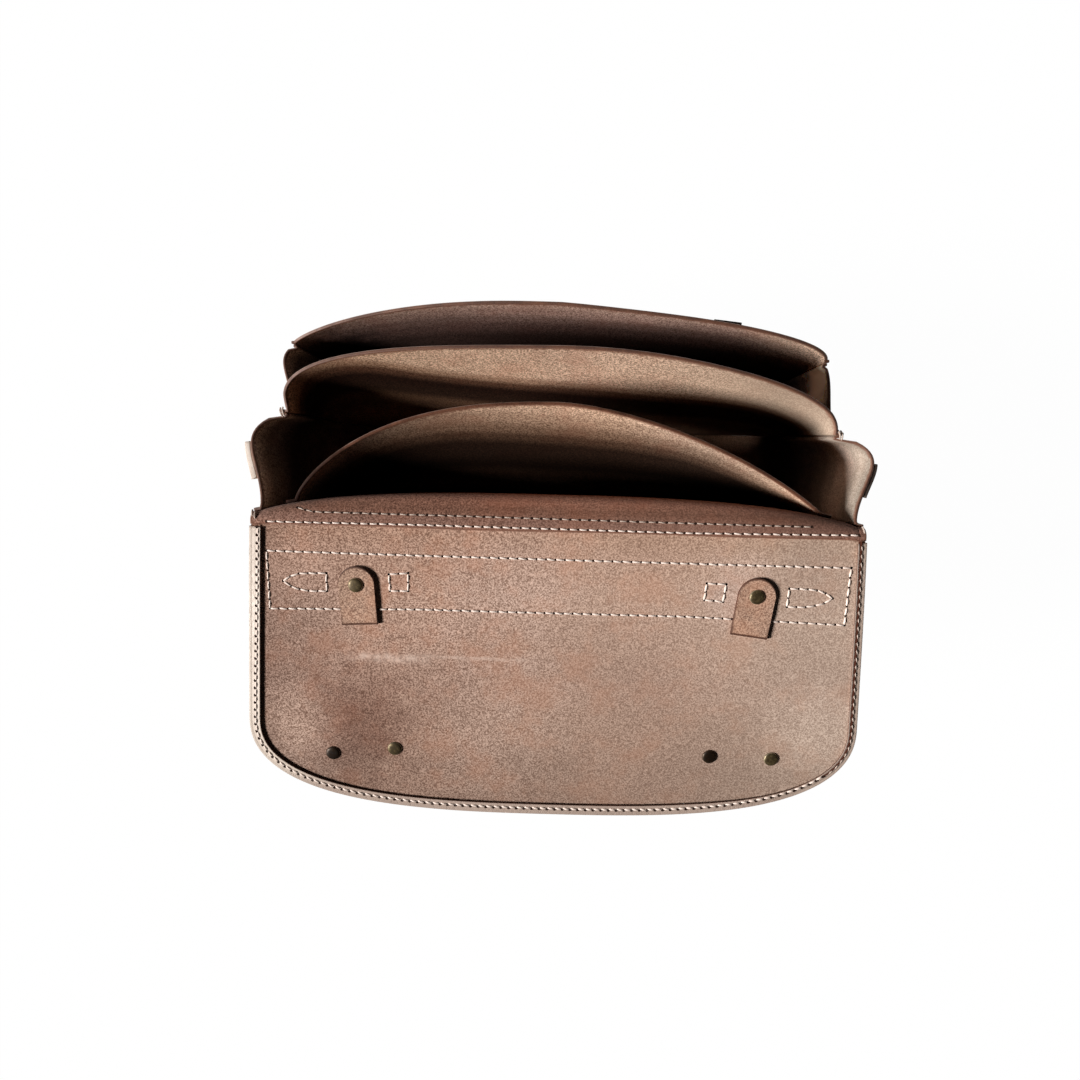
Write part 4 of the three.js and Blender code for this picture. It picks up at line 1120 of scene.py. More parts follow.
def gussetWeb(gusset, part, side, share, across):
    near = seamRoot(gusset["near"], part, side, share, gusset["nearTop"])
    far = seamRoot(gusset["far"], part, side, share, gusset["farTop"])
    start = onSeam(gusset["near"], near, 0, seamStand)
    web = between(start, onSeam(gusset["far"], far, 0, -seamStand), across)
    height = 1 - share if part == "side" else 0.0
    full = math.sin(math.pi * across ** gusset["skew"]) ** gussetMesh["bulgeRound"]
    bulge = gusset["bulge"][side] * height ** gussetMesh["bulgeHeight"] * full
    return web + np.array((near[2] * bulge, 0.0, near[3] * bulge))


# Flange on one panel and the bend into the web, from the outer edge inwards
def gussetFlange(shape, root, sign):
    bend = gussetMesh["bend"]
    width = seam["width"] * flangeShare(shape, root[1])
    outs = [between(bend, width, share) for share in gussetMesh["flange"]]
    line = [onSeam(shape, root, out, sign * seamStand) for out in outs]
    for turn in gussetMesh["turns"]:
        angle = math.pi / 2 * turn
        point = onSeam(shape, root, bend * (1 - math.sin(angle)), sign * seamStand)
        line.append(point + np.array((0, sign * bend * (1 - math.cos(angle)), 0)))
    return line


def gussetLine(gusset, part, side, share):
    near = seamRoot(gusset["near"], part, side, share, gusset["nearTop"])
    far = seamRoot(gusset["far"], part, side, share, gusset["farTop"])
    first = gussetWeb(gusset, part, side, share, 0.0)
    last = gussetWeb(gusset, part, side, share, 1.0)
    edge = gussetMesh["bend"] / (last[1] - first[1])
    count = gussetMesh["web"]
    places = [between(edge, 1 - edge, step / count) for step in range(1, count)]
    line = gussetFlange(gusset["near"], near, 1)
    line += [gussetWeb(gusset, part, side, share, across) for across in places]
    return line + gussetFlange(gusset["far"], far, -1)[::-1]


def seamRuns():
    runs = [("side", 0), ("corner", 0), ("floor", 1), ("corner", 1), ("side", 1)]
    stations = []
    for place, (part, side) in enumerate(runs):
        steps = gussetMesh[part]
        for step in range(0 if place == 0 else 1, steps + 1):
            share = step / steps
            if side == 1 and part != "floor":
                share = 1 - share
            stations.append((part, side, share))
    return stations


for name, gusset in (("gusset_rear", rearGusset), ("gusset_front", frontGusset)):
    grid = [gussetLine(gusset, part, side, share) for part, side, share in seamRuns()]
    finishes = (finishGusset, finishOuter, finishEdge)
    piece = sheetShell(name + "_bellows", grid, leather["gusset"], finishes, flesh=-1,
                       roundness=gussetMesh["roundness"], rims=("first", "last"))
    placePiece(piece, [name])
print("gussets: done")

# Flap, thrown open and lying level behind the roll
flapShape = {
    "halfAtFold": 203.5, "flare": 0.062, "sideEndY": -195, "freeEndY": -265.8, "tilt": 0.014,
    "cornerAcross": 3.0, "cornerRise": 2.4, "droop": 16, "droopPower": 1.4, "foldY": -47,
    "clear": 0.05, "tuck": 1.5, "wave": 0.45, "waveFrom": -70, "waveOver": 50, "waveScale": (0.8, 1.1),
    "seed": 5.0, "steps": 72, "rows": 70,
}


def flapLevel(x, y):
    along = clamp01((flapShape["foldY"] - y) / (flapShape["foldY"] - flapShape["freeEndY"]))
    under = leather["panel"] / 2 + leather["flap"] / 2 + leather["gap"] + flapShape["clear"]
    scaleX, scaleY = flapShape["waveScale"]
    wave = flapShape["wave"] * softStep((flapShape["waveFrom"] - y) / flapShape["waveOver"])
    wave *= softWave(x * scaleX, y * scaleY, flapShape["seed"])
    return rollTop(x) - under - flapShape["droop"] * along ** flapShape["droopPower"] + wave


def flapHalf(y):
    return flapShape["halfAtFold"] + flapShape["flare"] * (flapShape["foldY"] - y)


# Share of the half width and the depth at a step round the free edge, from left to right
def flapEdge(step):
    steps = flapShape["steps"]
    sign = -1 if step < steps else 1
    angle = math.pi / 2 * (step / steps if step <= steps else 2 - step / steps)
    across = sign * max(0.0, math.cos(angle)) ** (2 / flapShape["cornerAcross"])
    rise = math.sin(angle) ** (2 / flapShape["cornerRise"])
    level = between(flapShape["sideEndY"], flapShape["freeEndY"], rise)
    return across, level + flapShape["tilt"] * across * flapShape["halfAtFold"]


def flapGrid():
    steps, rows = flapShape["steps"], flapShape["rows"]
    grid = []
    for row in range(rows + 1):
        line = []
        for step in range(2 * steps + 1):
            across, edgeY = flapEdge(step)
            startX = across * flapShape["halfAtFold"]
            startY = rollWallY(startX) - rollBend(startX) - flapShape["tuck"]
            y = between(startY, edgeY, row / rows)
            x = across * flapHalf(y)
            line.append((x, y, flapLevel(x, y)))
        grid.append(line)
    return grid


finishes = (finishFlap, finishOuter, finishEdge)
piece = sheetShell("flap_sheet", flapGrid(), leather["flap"], finishes, flesh=-1)
placePiece(piece, ["flap"])


def onFlap(plan, lift):
    return [[(x, y, flapLevel(x, y) + lift + rise) for x, y, rise in line] for line in plan]


# Geometry node trees
def newTree(name, inputs):
    shape = {"Geometry": "Geometry"}
    return newGroup(name, {**shape, **inputs}, shape, "GeometryNodeTree")


def runTree(piece, tree, values):
    modifier = piece.modifiers.new("make", "NODES")
    modifier.node_group = tree
    sockets = {item.name: item.identifier for item in tree.interface.items_tree if item.in_out == "INPUT"}
    for label, value in values.items():
        modifier[sockets[label]] = value
    bpy.context.view_layer.update()
    graph = bpy.context.evaluated_depsgraph_get()
    solved = piece.evaluated_get(graph)
    made = bpy.data.meshes.new_from_object(solved, preserve_all_data_layers=True, depsgraph=graph)
    piece.modifiers.remove(modifier)
    old = piece.data
    piece.data = made
    made.name = piece.name
    bpy.data.meshes.remove(old)
    return piece


# Lines of points with a direction to stand on, for the trees below
def pathMesh(name, runs):
    vertices, edges, normals = [], [], []
    for points, ups in runs:
        start = len(vertices)
        vertices += [tuple(value * mm for value in point) for point in points]
        normals += [tuple(up) for up in ups]
        edges += [(place, place + 1) for place in range(start, len(vertices) - 1)]
    mesh = bpy.data.meshes.new(name)
    mesh.from_pydata(vertices, edges, [])
    stand = mesh.attributes.new("standing", "FLOAT_VECTOR", "POINT")
    stand.data.foreach_set("vector", np.array(normals, np.float32).reshape(-1))
    return newObject(name, mesh)


def faceAlong(tree, way):
    kind = {"data_type": "FLOAT_VECTOR"}
    standing = addNode(tree, "GeometryNodeInputNamedAttribute", kind, {"Name": "standing"})
    axes = {"primary_axis": "Z", "secondary_axis": "X"}
    return addNode(tree, "FunctionNodeAxesToRotation", axes, {0: standing.outputs[0], 1: way}).outputs[0]


def instanceOn(tree, points, shape, facing, chosen=True):
    feeds = {"Points": points, "Selection": chosen, "Instance": shape, "Rotation": facing}
    return addNode(tree, "GeometryNodeInstanceOnPoints", feeds=feeds).outputs[0]


def turnInstances(tree, instances, angle):
    turn = addNode(tree, "ShaderNodeCombineXYZ", feeds={2: angle}).outputs[0]
    feeds = {"Instances": instances, "Rotation": turn, "Local Space": True}
    return addNode(tree, "GeometryNodeRotateInstances", feeds=feeds).outputs[0]


# Points along each line, half a stitch apart: even ones are holes and odd ones are stitches
def stitchPoints(tree, given, odd):
    curve = addNode(tree, "GeometryNodeMeshToCurve", feeds={0: given["Geometry"]}).outputs[0]
    length = addNode(tree, "GeometryNodeSplineLength").outputs[0]
    count = addMath(tree, "ROUND", addMath(tree, "DIVIDE", length, given["Pitch"]))
    count = addMath(tree, "MAXIMUM", count, 1.0)
    count = addMath(tree, "ADD", addMath(tree, "MULTIPLY", count, 2.0), 1.0)
    spaced = addNode(tree, "GeometryNodeResampleCurve", {"mode": "COUNT"}, {"Curve": curve, "Count": count})
    index = addNode(tree, "GeometryNodeSplineParameter").outputs["Index"]
    remainder = addMath(tree, "MODULO", index, 2.0)
    chosen = remainder if odd else addMath(tree, "SUBTRACT", 1.0, remainder)
    tangent = addNode(tree, "GeometryNodeInputTangent").outputs[0]
    return spaced.outputs[0], chosen, faceAlong(tree, tangent)


def finishTree(tree, given, made, instances):
    real = addNode(tree, "GeometryNodeRealizeInstances", feeds={0: instances}).outputs[0]
    dressed = addNode(tree, "GeometryNodeSetMaterial", feeds={"Geometry": real, "Material": given["Finish"]})
    tree.links.new(dressed.outputs[0], made["Geometry"])


def threadRowTree():
    tree, given, made = newTree("threadRow", {
        "Pitch": 0.006, "Dash": 0.0044, "Thread": 0.0004, "Crown": 0.0012, "Sink": 0.0004, "Slant": 0.12,
        "Seed": 1, "Finish": "Material"})
    points, chosen, facing = stitchPoints(tree, given, True)
    half = addMath(tree, "MULTIPLY", given["Dash"], 0.5)
    back = addMath(tree, "MULTIPLY", given["Dash"], -0.5)
    sunk = addMath(tree, "MULTIPLY", given["Sink"], -1.0)
    start = addNode(tree, "ShaderNodeCombineXYZ", feeds={0: back, 2: sunk}).outputs[0]
    middle = addNode(tree, "ShaderNodeCombineXYZ", feeds={2: given["Crown"]}).outputs[0]
    end = addNode(tree, "ShaderNodeCombineXYZ", feeds={0: half, 2: sunk}).outputs[0]
    feeds = {"Resolution": sewing["arcSteps"], "Start": start, "Middle": middle, "End": end}
    arc = addNode(tree, "GeometryNodeCurveQuadraticBezier", feeds=feeds).outputs[0]
    feeds = {"Resolution": sewing["threadSides"], "Radius": given["Thread"]}
    ring = addNode(tree, "GeometryNodeCurvePrimitiveCircle", feeds=feeds)
    dash = addNode(tree, "GeometryNodeCurveToMesh",
                   feeds={"Curve": arc, "Profile Curve": ring.outputs[0], "Fill Caps": True}).outputs[0]
    placed = instanceOn(tree, points, dash, facing, chosen)
    loose = addNode(tree, "FunctionNodeRandomValue", {"data_type": "FLOAT"}, {"Seed": given["Seed"]})
    loose.inputs[2].default_value = -sewing["unevenLean"]
    loose.inputs[3].default_value = sewing["unevenLean"]
    lean = addMath(tree, "ADD", given["Slant"], loose.outputs[1])
    finishTree(tree, given, made, turnInstances(tree, placed, lean))
    return tree


def holeRowTree():
    tree, given, made = newTree("holeRow", {
        "Pitch": 0.006, "Radius": 0.0006, "Stretch": 1.4, "Lift": 0.00005, "Aside": 0.0,
        "Finish": "Material"})
    points, chosen, facing = stitchPoints(tree, given, False)
    disc = addNode(tree, "GeometryNodeMeshCircle", {"fill_type": "NGON"},
                   {"Vertices": sewing["holeSides"], "Radius": given["Radius"]}).outputs[0]
    move = addNode(tree, "ShaderNodeCombineXYZ", feeds={1: given["Aside"], 2: given["Lift"]}).outputs[0]
    size = addNode(tree, "ShaderNodeCombineXYZ", feeds={0: given["Stretch"], 1: 1.0, 2: 1.0}).outputs[0]
    feeds = {"Geometry": disc, "Translation": move, "Scale": size}
    spot = addNode(tree, "GeometryNodeTransform", feeds=feeds).outputs[0]
    finishTree(tree, given, made, instanceOn(tree, points, spot, facing, chosen))
    return tree


# Spacing of a sewn line's points, how far threads and holes stand off the leather, and their meshes
sewing = {
    "step": 5, "lift": 0.05, "holeLift": 0.06, "unevenLean": 0.07,
    "arcSteps": 5, "threadSides": 6, "holeSides": 9,
}
threadRow = threadRowTree()
holeRow = holeRowTree()


def sewRuns(name, runs, look):
    thread = runTree(pathMesh(name + "_thread", runs), threadRow, {
        "Pitch": look["pitch"] * mm, "Dash": look["dash"] * mm, "Thread": look["thread"] * mm,
        "Crown": look["crown"] * mm, "Sink": look["sink"] * mm, "Slant": look["slant"], "Seed": look["seed"],
        "Finish": look.get("threadFinish", finishThread)})
    thread.data.shade_smooth()
    placePiece(thread, [])
    if "hole" not in look:
        return
    holes = runTree(pathMesh(name + "_holes", runs), holeRow, {
        "Pitch": look["pitch"] * mm, "Radius": look["hole"] * mm, "Stretch": look["stretch"],
        "Lift": look.get("holeLift", sewing["holeLift"]) * mm, "Aside": look.get("aside", 0.0) * mm,
        "Finish": look.get("holeFinish", finishHole)})
    placePiece(holes, [])


def walkCorners(corners):
    points = []
    for start, end in zip(corners[:-1], corners[1:]):
        steps = max(1, int(math.dist(start, end) / sewing["step"]))
        for step in range(steps):
            points.append(tuple(between(a, b, step / steps) for a, b in zip(start, end)))
    return points + [corners[-1]]


# Stitching that shows on the flap's suede: plan corners of each sewn line
flapSewing = {
    "lines": [
        [(-194.4, -77.6), (196.8, -77.9)], [(196.8, -77.9), (196.4, -117.3)],
        [(196.4, -117.3), (92.7, -114.4), (-90.8, -115.1), (-194.2, -118.3)],
        [(-194.2, -118.3), (-194.4, -77.6)],
        [(-183.9, -98.4), (-179.0, -94.9), (-172.3, -92.7), (-153.8, -91.8)],
        [(-153.8, -91.8), (-153.8, -104.4)],
        [(-153.8, -104.4), (-165.5, -104.8), (-172.4, -103.9), (-178.0, -102.3), (-183.9, -98.4)],
        [(186.5, -99.0), (181.6, -95.6), (176.0, -93.8), (170.1, -93.1), (157.3, -93.0)],
        [(157.3, -93.0), (156.8, -105.6)],
        [(156.8, -105.6), (168.8, -105.5), (176.2, -104.1), (181.5, -102.3), (186.5, -99.0)],
        [(-110.9, -91.2), (-97.8, -90.0)], [(-97.8, -90.0), (-97.9, -102.4)],
        [(-97.9, -102.4), (-110.3, -102.8)], [(-110.3, -102.8), (-110.9, -91.2)],
        [(102.4, -91.0), (115.3, -91.2)], [(115.3, -91.2), (114.1, -103.3)],
        [(114.1, -103.3), (101.5, -102.4)], [(101.5, -102.4), (102.4, -91.0)],
    ],
    "look": {"pitch": 6.3, "dash": 5.3, "thread": 0.74, "crown": 0.95, "sink": 0.70, "slant": -0.06,
             "seed": 11, "hole": 0.85, "stretch": 1.1},
}


def flapRun(corners, lift):
    points = [(x, y, flapLevel(x, y) + lift) for x, y in walkCorners(corners)]
    return points, [(0, 0, 1.0 if lift > 0 else -1.0)] * len(points)


topLift = leather["flap"] / 2 + sewing["lift"]
flapRuns = [flapRun(line, topLift) for line in flapSewing["lines"]]
sewRuns("flap_stitch", flapRuns, flapSewing["look"])

# The two rows along the roll
rollSewing = {
    "lower": [(-192.5, -57.2), (-89.7, -56.5), (88.6, -57.0), (198.5, -55.6)],
    "upper": [(-172.1, -47.6), (-165.4, -49.1), (-159.6, -49.9), (-60, -49.9), (60, -50.5), (167.5, -50.9)],
    "look": {"pitch": 6.3, "dash": 5.0, "thread": 0.62, "crown": 0.86, "sink": 0.62, "slant": -0.05,
             "seed": 12, "hole": 0.82, "stretch": 1.1},
    "upperLook": {"pitch": 6.3, "dash": 4.7, "thread": 0.46, "crown": 0.70, "sink": 0.50, "slant": -0.04,
                  "seed": 16, "hole": 0.90, "stretch": 1.15, "threadFinish": finishDullThread},
}


def rollRun(corners):
    skins = [rollSkin(x, y, sewing["lift"]) for x, y in walkCorners(corners)]
    return [point for point, up in skins], [up for point, up in skins]


sewRuns("roll_stitch", [rollRun(rollSewing["lower"])], rollSewing["look"])
sewRuns("roll_stitch_upper", [rollRun(rollSewing["upper"])], rollSewing["upperLook"])
print("flap and its stitching: done")

# Binding: a C section swept along the flap's edge; inset is from the edge and lift from the flap's middle
bindingShape = {
    "lip": 7.5, "rightShare": 0.72, "rightFrom": 90, "rightOver": 90, "startY": -61, "sideSteps": 40,
    "spacing": 2.0, "curl": 0.7, "curlRate": 2.4, "fall": 0.9, "outerEnd": 0.8, "innerEnd": 0.3,
    "sideRound": 0.62, "sideTurn": (0.15, 0.85),
}


def flapRim():
    sides = bindingShape["sideSteps"]
    depths = [between(bindingShape["startY"], flapShape["sideEndY"], step / sides) for step in range(sides)]
    rim = [(-flapHalf(y), y) for y in depths]
    for step in range(2 * flapShape["steps"] + 1):
        across, y = flapEdge(step)
        rim.append((across * flapHalf(y), y))
    return np.array(rim + [(flapHalf(y), y) for y in reversed(depths)])


def evenLine(points, spacing):
    steps = np.linalg.norm(np.diff(points, axis=0), axis=1)
    along = np.concatenate([[0], np.cumsum(steps)])
    count = max(2, int(along[-1] / spacing))
    places = np.linspace(0, along[-1], count + 1)
    return np.stack([np.interp(places, along, points[:, axis]) for axis in range(points.shape[1])], axis=1)


def rimFrame():
    rim = evenLine(flapRim(), bindingShape["spacing"])
    along = np.gradient(rim, axis=0)
    along /= np.linalg.norm(along, axis=1, keepdims=True)
    return rim, np.stack([-along[:, 1], along[:, 0]], axis=1)


# The strip covers less of the flap on its right side
def bindingWide(x):
    right = softStep((x - bindingShape["rightFrom"]) / bindingShape["rightOver"])
    return between(1.0, bindingShape["rightShare"], right)


def lipCurl(share):
    return bindingShape["curl"] * (1 - softStep(share * bindingShape["curlRate"]))


# Height of the binding's upper face, from its lip at share 0 to its rounded outer side at share 1
def bindingTop(share, outer):
    return outer + lipCurl(share) - bindingShape["fall"] * share ** 3


def bindingSection():
    inner = leather["flap"] / 2 + leather["gap"]
    thick = leather["binding"]
    outer = inner + thick
    lip, outerEnd, innerEnd = (bindingShape[key] for key in ("lip", "outerEnd", "innerEnd"))
    skin = -leather["gap"] - thick
    section = [(between(lip, outerEnd, share), bindingTop(share, outer)) for share in np.linspace(0, 1, 9)]
    for turn in np.linspace(*bindingShape["sideTurn"], 5):
        angle = math.pi * turn
        out = outer * bindingShape["sideRound"] * (1 - math.sin(angle))
        section.append((skin + out, outer * math.cos(angle)))
    section += [(between(lip, outerEnd, share), -outer) for share in np.linspace(1, 0, 7)]
    section += [(between(lip, innerEnd, share), -inner) for share in np.linspace(0, 1, 5)]
    section.append((-leather["gap"], 0.0))
    section += [(between(lip, innerEnd, share), inner + lipCurl(share)) for share in np.linspace(1, 0, 5)]
    return section


def bindingPiece():
    rim, ways = rimFrame()
    section = bindingSection()
    count = len(section)
    vertices, distance = [], []
    for (rimX, rimY), (wayX, wayY) in zip(rim, ways):
        for inset, lift in section:
            inward = inset * bindingWide(rimX) if inset > 0 else inset
            x, y = rimX + wayX * inward, rimY + wayY * inward
            vertices.append((x, y, flapLevel(x, y) + lift))
            distance.append((bindingShape["lip"] - inset) * mm)
    faces, kinds = [], []
    for row in range(len(rim) - 1):
        for place in range(count):
            following = (place + 1) % count
            a, b = row * count + place, row * count + following
            faces.append((a, b, b + count, a + count))
            cut = section[place][0] == section[following][0] == bindingShape["lip"]
            kinds.append(1 if cut else 0)
    last = (len(rim) - 1) * count
    faces.append(tuple(range(count)))
    faces.append(tuple(last + place for place in reversed(range(count))))
    kinds += [1, 1]
    finishes = (finishBinding, finishEdge)
    return solidPiece("flap_binding_strip", vertices, faces, {"edgeDist": distance}, finishes, kinds)


piece = bindingPiece()
placePiece(piece, ["flap_binding"])
bindingSewing = {
    "foldInset": 5.6, "inset": 4.3, "insetFrom": -90, "insetOver": 100, "rightInset": 2.7, "rightFrom": -228,
    "look": {"pitch": 5.55, "dash": 3.75, "thread": 0.80, "crown": 0.95, "sink": 0.55, "slant": -0.06,
             "seed": 13, "hole": 1.05, "stretch": 1.1, "aside": -0.80},
    "rightLook": {"pitch": 5.55, "dash": 4.5, "thread": 0.50, "crown": 0.60, "sink": 0.50, "slant": 0.16,
                  "seed": 15, "hole": 1.20, "stretch": 2.6, "aside": 1.15, "holeLift": 0.30,
                  "holeFinish": finishGroove, "threadFinish": finishDullThread},
}


def bindingRun(up, right):
    rim, ways = rimFrame()
    outer = leather["flap"] / 2 + leather["gap"] + leather["binding"]
    points = []
    for (rimX, rimY), (wayX, wayY) in zip(rim, ways):
        along = softStep((bindingSewing["insetFrom"] - rimY) / bindingSewing["insetOver"])
        inset = between(bindingSewing["foldInset"], bindingSewing["inset"], along)
        if right:
            inset = bindingSewing["rightInset"]
        x, y = rimX + wayX * inset, rimY + wayY * inset
        if (x > 0 and y > bindingSewing["rightFrom"]) != right:
            continue
        lip, end = bindingShape["lip"], bindingShape["outerEnd"]
        share = (lip - inset / bindingWide(rimX)) / (lip - end)
        lift = bindingTop(share, outer) + sewing["lift"] if up > 0 else -outer - sewing["lift"]
        points.append((x, y, flapLevel(x, y) + lift))
    return points, [(0, 0, up)] * len(points)


for name, right, look in (("binding_stitch", False, "look"), ("binding_stitch_right", True, "rightLook")):
    bindingRuns = [bindingRun(1.0, right), bindingRun(-1.0, right)]
    sewRuns(name, bindingRuns, bindingSewing[look])

# Tabs on the suede, curling up a little away from their rivets
tabShape = {
    "width": 25, "length": 41, "rows": 26, "columns": 30,
    "curl": 0.6, "curlFrom": 4, "curlOver": 14, "curlStart": 0.3,
    "places": [
        {"node": "tab_left", "x": -132.4, "y": -106.6, "lean": -3.6, "rivet": (-133.2, -98.8)},
        {"node": "tab_right", "x": 134.9, "y": -106.6, "lean": 7.0, "rivet": (135.7, -98.7)},
    ],
}


def tabGrid(place):
    lean = math.radians(place["lean"])
    radius = tabShape["width"] / 2

    def point(down, over):
        across = -radius * math.cos(math.pi * over)
        crown = tabShape["length"] / 2 - radius + radius * math.sin(math.pi * over)
        along = between(-tabShape["length"] / 2, crown, down)
        x = place["x"] + across * math.cos(lean) + along * math.sin(lean)
        y = place["y"] - across * math.sin(lean) + along * math.cos(lean)
        away = math.dist((x, y), place["rivet"])
        curl = tabShape["curl"] * softStep((away - tabShape["curlFrom"]) / tabShape["curlOver"])
        return x, y, curl * between(tabShape["curlStart"], 1.0, down)
    return onFlap(gridOf(tabShape, point), leather["flap"] / 2 + leather["gap"] + leather["tab"] / 2)


for place in tabShape["places"]:
    finishes = (finishTab, finishTab, finishTabEdge)
    # Its rims is the lower edge, along which the suede carries a painted shadow line
    piece = sheetShell(place["node"] + "_leaf", tabGrid(place), leather["tab"], finishes, rims=("first",))
    placePiece(piece, [place["node"]])

# Band, pointed strips and keepers on the flap's outer side
bandShape = {"left": -193, "right": 197, "nearY": -75, "farY": -120, "rows": 12, "columns": 100}
stripShape = {
    "y": -97.5, "width": 18, "tip": 13, "rows": 12, "columns": 40,
    "places": [("strip_left", -186, -93), ("strip_right", 189, 98)],
}
keeperShape = {
    "width": 14, "margin": 9, "loopHalf": 13, "loopRise": 6.5, "rampFrom": 1.5, "rampOver": 6.0,
    "rows": 8, "columns": 90,
    "places": [("keeper_left", (-153.1, -224.9), (-108.3, -219.8)),
               ("keeper_right", (113.9, -217.1), (157.2, -217.2))],
}
outerFinishes = (finishInner, finishOuter, finishEdge)
bandLift = -(leather["flap"] / 2 + leather["gap"] + leather["strap"] / 2)
stripLift = bandLift - leather["strap"] - leather["gap"]


def bandPoint(down, over):
    y = between(bandShape["nearY"], bandShape["farY"], down)
    return between(bandShape["left"], bandShape["right"], over), y, 0.0


def stripGrid(tipX, squareX, sign):
    def point(down, over):
        share = between(-1, 1, down)
        end = tipX - sign * stripShape["tip"] * abs(share)
        return between(squareX, end, over), stripShape["y"] + share * stripShape["width"] / 2, 0.0
    return onFlap(gridOf(stripShape, point), stripLift)


def keeperGrid(first, second):
    middle = (first[0] + second[0]) / 2
    tilt = (second[1] - first[1]) / (second[0] - first[0])
    startX, endX = first[0] - keeperShape["margin"], second[0] + keeperShape["margin"]
    reach = keeperShape["loopHalf"] + keeperShape["rampFrom"]

    def point(down, over):
        x = between(startX, endX, over)
        aside = between(-0.5, 0.5, down) * keeperShape["width"]
        rise = softStep((reach - abs(x - middle)) / keeperShape["rampOver"])
        return x, first[1] + (x - first[0]) * tilt + aside, -keeperShape["loopRise"] * rise
    return onFlap(gridOf(keeperShape, point), bandLift)


grid = onFlap(gridOf(bandShape, bandPoint), bandLift)
piece = sheetShell("band_outer", grid, leather["strap"], outerFinishes, flesh=-1)
placePiece(piece, ["flap_band"])
for name, tipX, squareX in stripShape["places"]:
    sign = 1 if tipX > 0 else -1
    grid = stripGrid(tipX, squareX, sign)
    piece = sheetShell(name + "_leaf", grid, leather["strap"], outerFinishes, flesh=sign)
    placePiece(piece, [name])

# Their stitching on the outer faces, set in from the edges
outerSewing = {
    "inset": 3.0,
    "look": {"pitch": 6.3, "dash": 4.9, "thread": 0.52, "crown": 0.8, "sink": 0.5, "slant": 0.06, "seed": 19,
             "hole": 0.7, "stretch": 1.2},
}


def bandRuns():
    inset = outerSewing["inset"]
    left, right = bandShape["left"] + inset, bandShape["right"] - inset
    near, far = bandShape["nearY"] - inset, bandShape["farY"] + inset
    corners = [(left, near), (right, near), (right, far), (left, far), (left, near)]
    lift = bandLift - leather["strap"] / 2 - sewing["lift"]
    return [flapRun(corners[place:place + 2], lift) for place in range(4)]


def stripRuns(tipX, squareX):
    inset, tip, half = outerSewing["inset"], stripShape["tip"], stripShape["width"] / 2
    sign = 1 if tipX > 0 else -1
    low, high = stripShape["y"] - half + inset, stripShape["y"] + half - inset
    square = squareX + sign * inset
    point = tipX - sign * inset * math.hypot(tip, half) / half
    shoulder = point - sign * tip * (half - inset) / half
    corners = [(square, low), (shoulder, low), (point, stripShape["y"]), (shoulder, high), (square, high),
               (square, low)]
    lift = stripLift - leather["strap"] / 2 - sewing["lift"]
    return [flapRun(corners[start:end], lift) for start, end in ((0, 2), (1, 4), (3, 5), (4, 6))]


outerRuns = bandRuns()
for name, tipX, squareX in stripShape["places"]:
    outerRuns += stripRuns(tipX, squareX)
sewRuns("band_stitch", outerRuns, outerSewing["look"])


for name, first, second in keeperShape["places"]:
    piece = sheetShell(name + "_loop", keeperGrid(first, second), leather["strap"], outerFinishes)
    placePiece(piece, [name])
print("binding, tabs and outer leather: done")

# Rivets: one turned body on every marked point
rivetShape = {
    "cap": 5.1, "rise": 1.7, "stem": 2.0, "washer": 4.0, "brim": 0.15, "sunk": 0.25,
    "segments": 32, "seed": 3,
    "tabs": [("tab_rivet_left", -133.2, -98.8), ("tab_rivet_right", 135.7, -98.7)],
    "flap": [("rivet_left_outer", -154.4, -224.6), ("rivet_left_inner", -109.7, -219.2),
             ("rivet_right_inner", 113.0, -216.4), ("rivet_right_outer", 156.2, -216.9)],
}


def rivetBody(name, seat, foot):
    cap, rise, stem, washer = (rivetShape[key] for key in ("cap", "rise", "stem", "washer"))
    brim = seat + rivetShape["brim"]
    profile = [(0.0, foot - 1.1, 0.0), (washer * 0.55, foot - 1.1, 0.2), (washer * 0.85, foot - 1.0, 0.6),
               (washer, foot - 0.6, 1.0), (washer, foot - 0.05, 0.8), (stem, foot - 0.05, 0.0),
               (stem, seat, 0.0), (cap * 0.96, seat, 0.3), (cap, brim, 0.8)]
    for turn in np.linspace(0.0, 1.0, 8)[1:]:
        angle = math.pi / 2 * turn
        radius = cap * math.cos(angle) ** 0.55
        z = brim + (rise - rivetShape["brim"]) * math.sin(angle) ** 0.9
        profile.append((max(0.0, radius), z, clamp01(1.25 - turn * 1.6)))
    profile[-1] = (0.0, seat + rise, 0.0)
    segments = rivetShape["segments"]
    vertices = [(0, 0, profile[0][1])]
    shares = [profile[0][2]]
    for radius, z, share in profile[1:-1]:
        for step in range(segments):
            angle = 2 * math.pi * step / segments
            vertices.append((radius * math.cos(angle), radius * math.sin(angle), z))
            shares.append(share)
    vertices.append((0, 0, profile[-1][1]))
    shares.append(0.0)
    top = len(vertices) - 1
    rings = len(profile) - 2
    faces = []
    for step in range(segments):
        following = (step + 1) % segments
        faces.append((0, 1 + following, 1 + step))
        upper = 1 + (rings - 1) * segments
        faces.append((top, upper + step, upper + following))
        for ring in range(rings - 1):
            a = 1 + ring * segments
            faces.append((a + step, a + following, a + segments + following, a + segments + step))
    return solidPiece(name, vertices, faces, {"rimShare": shares})


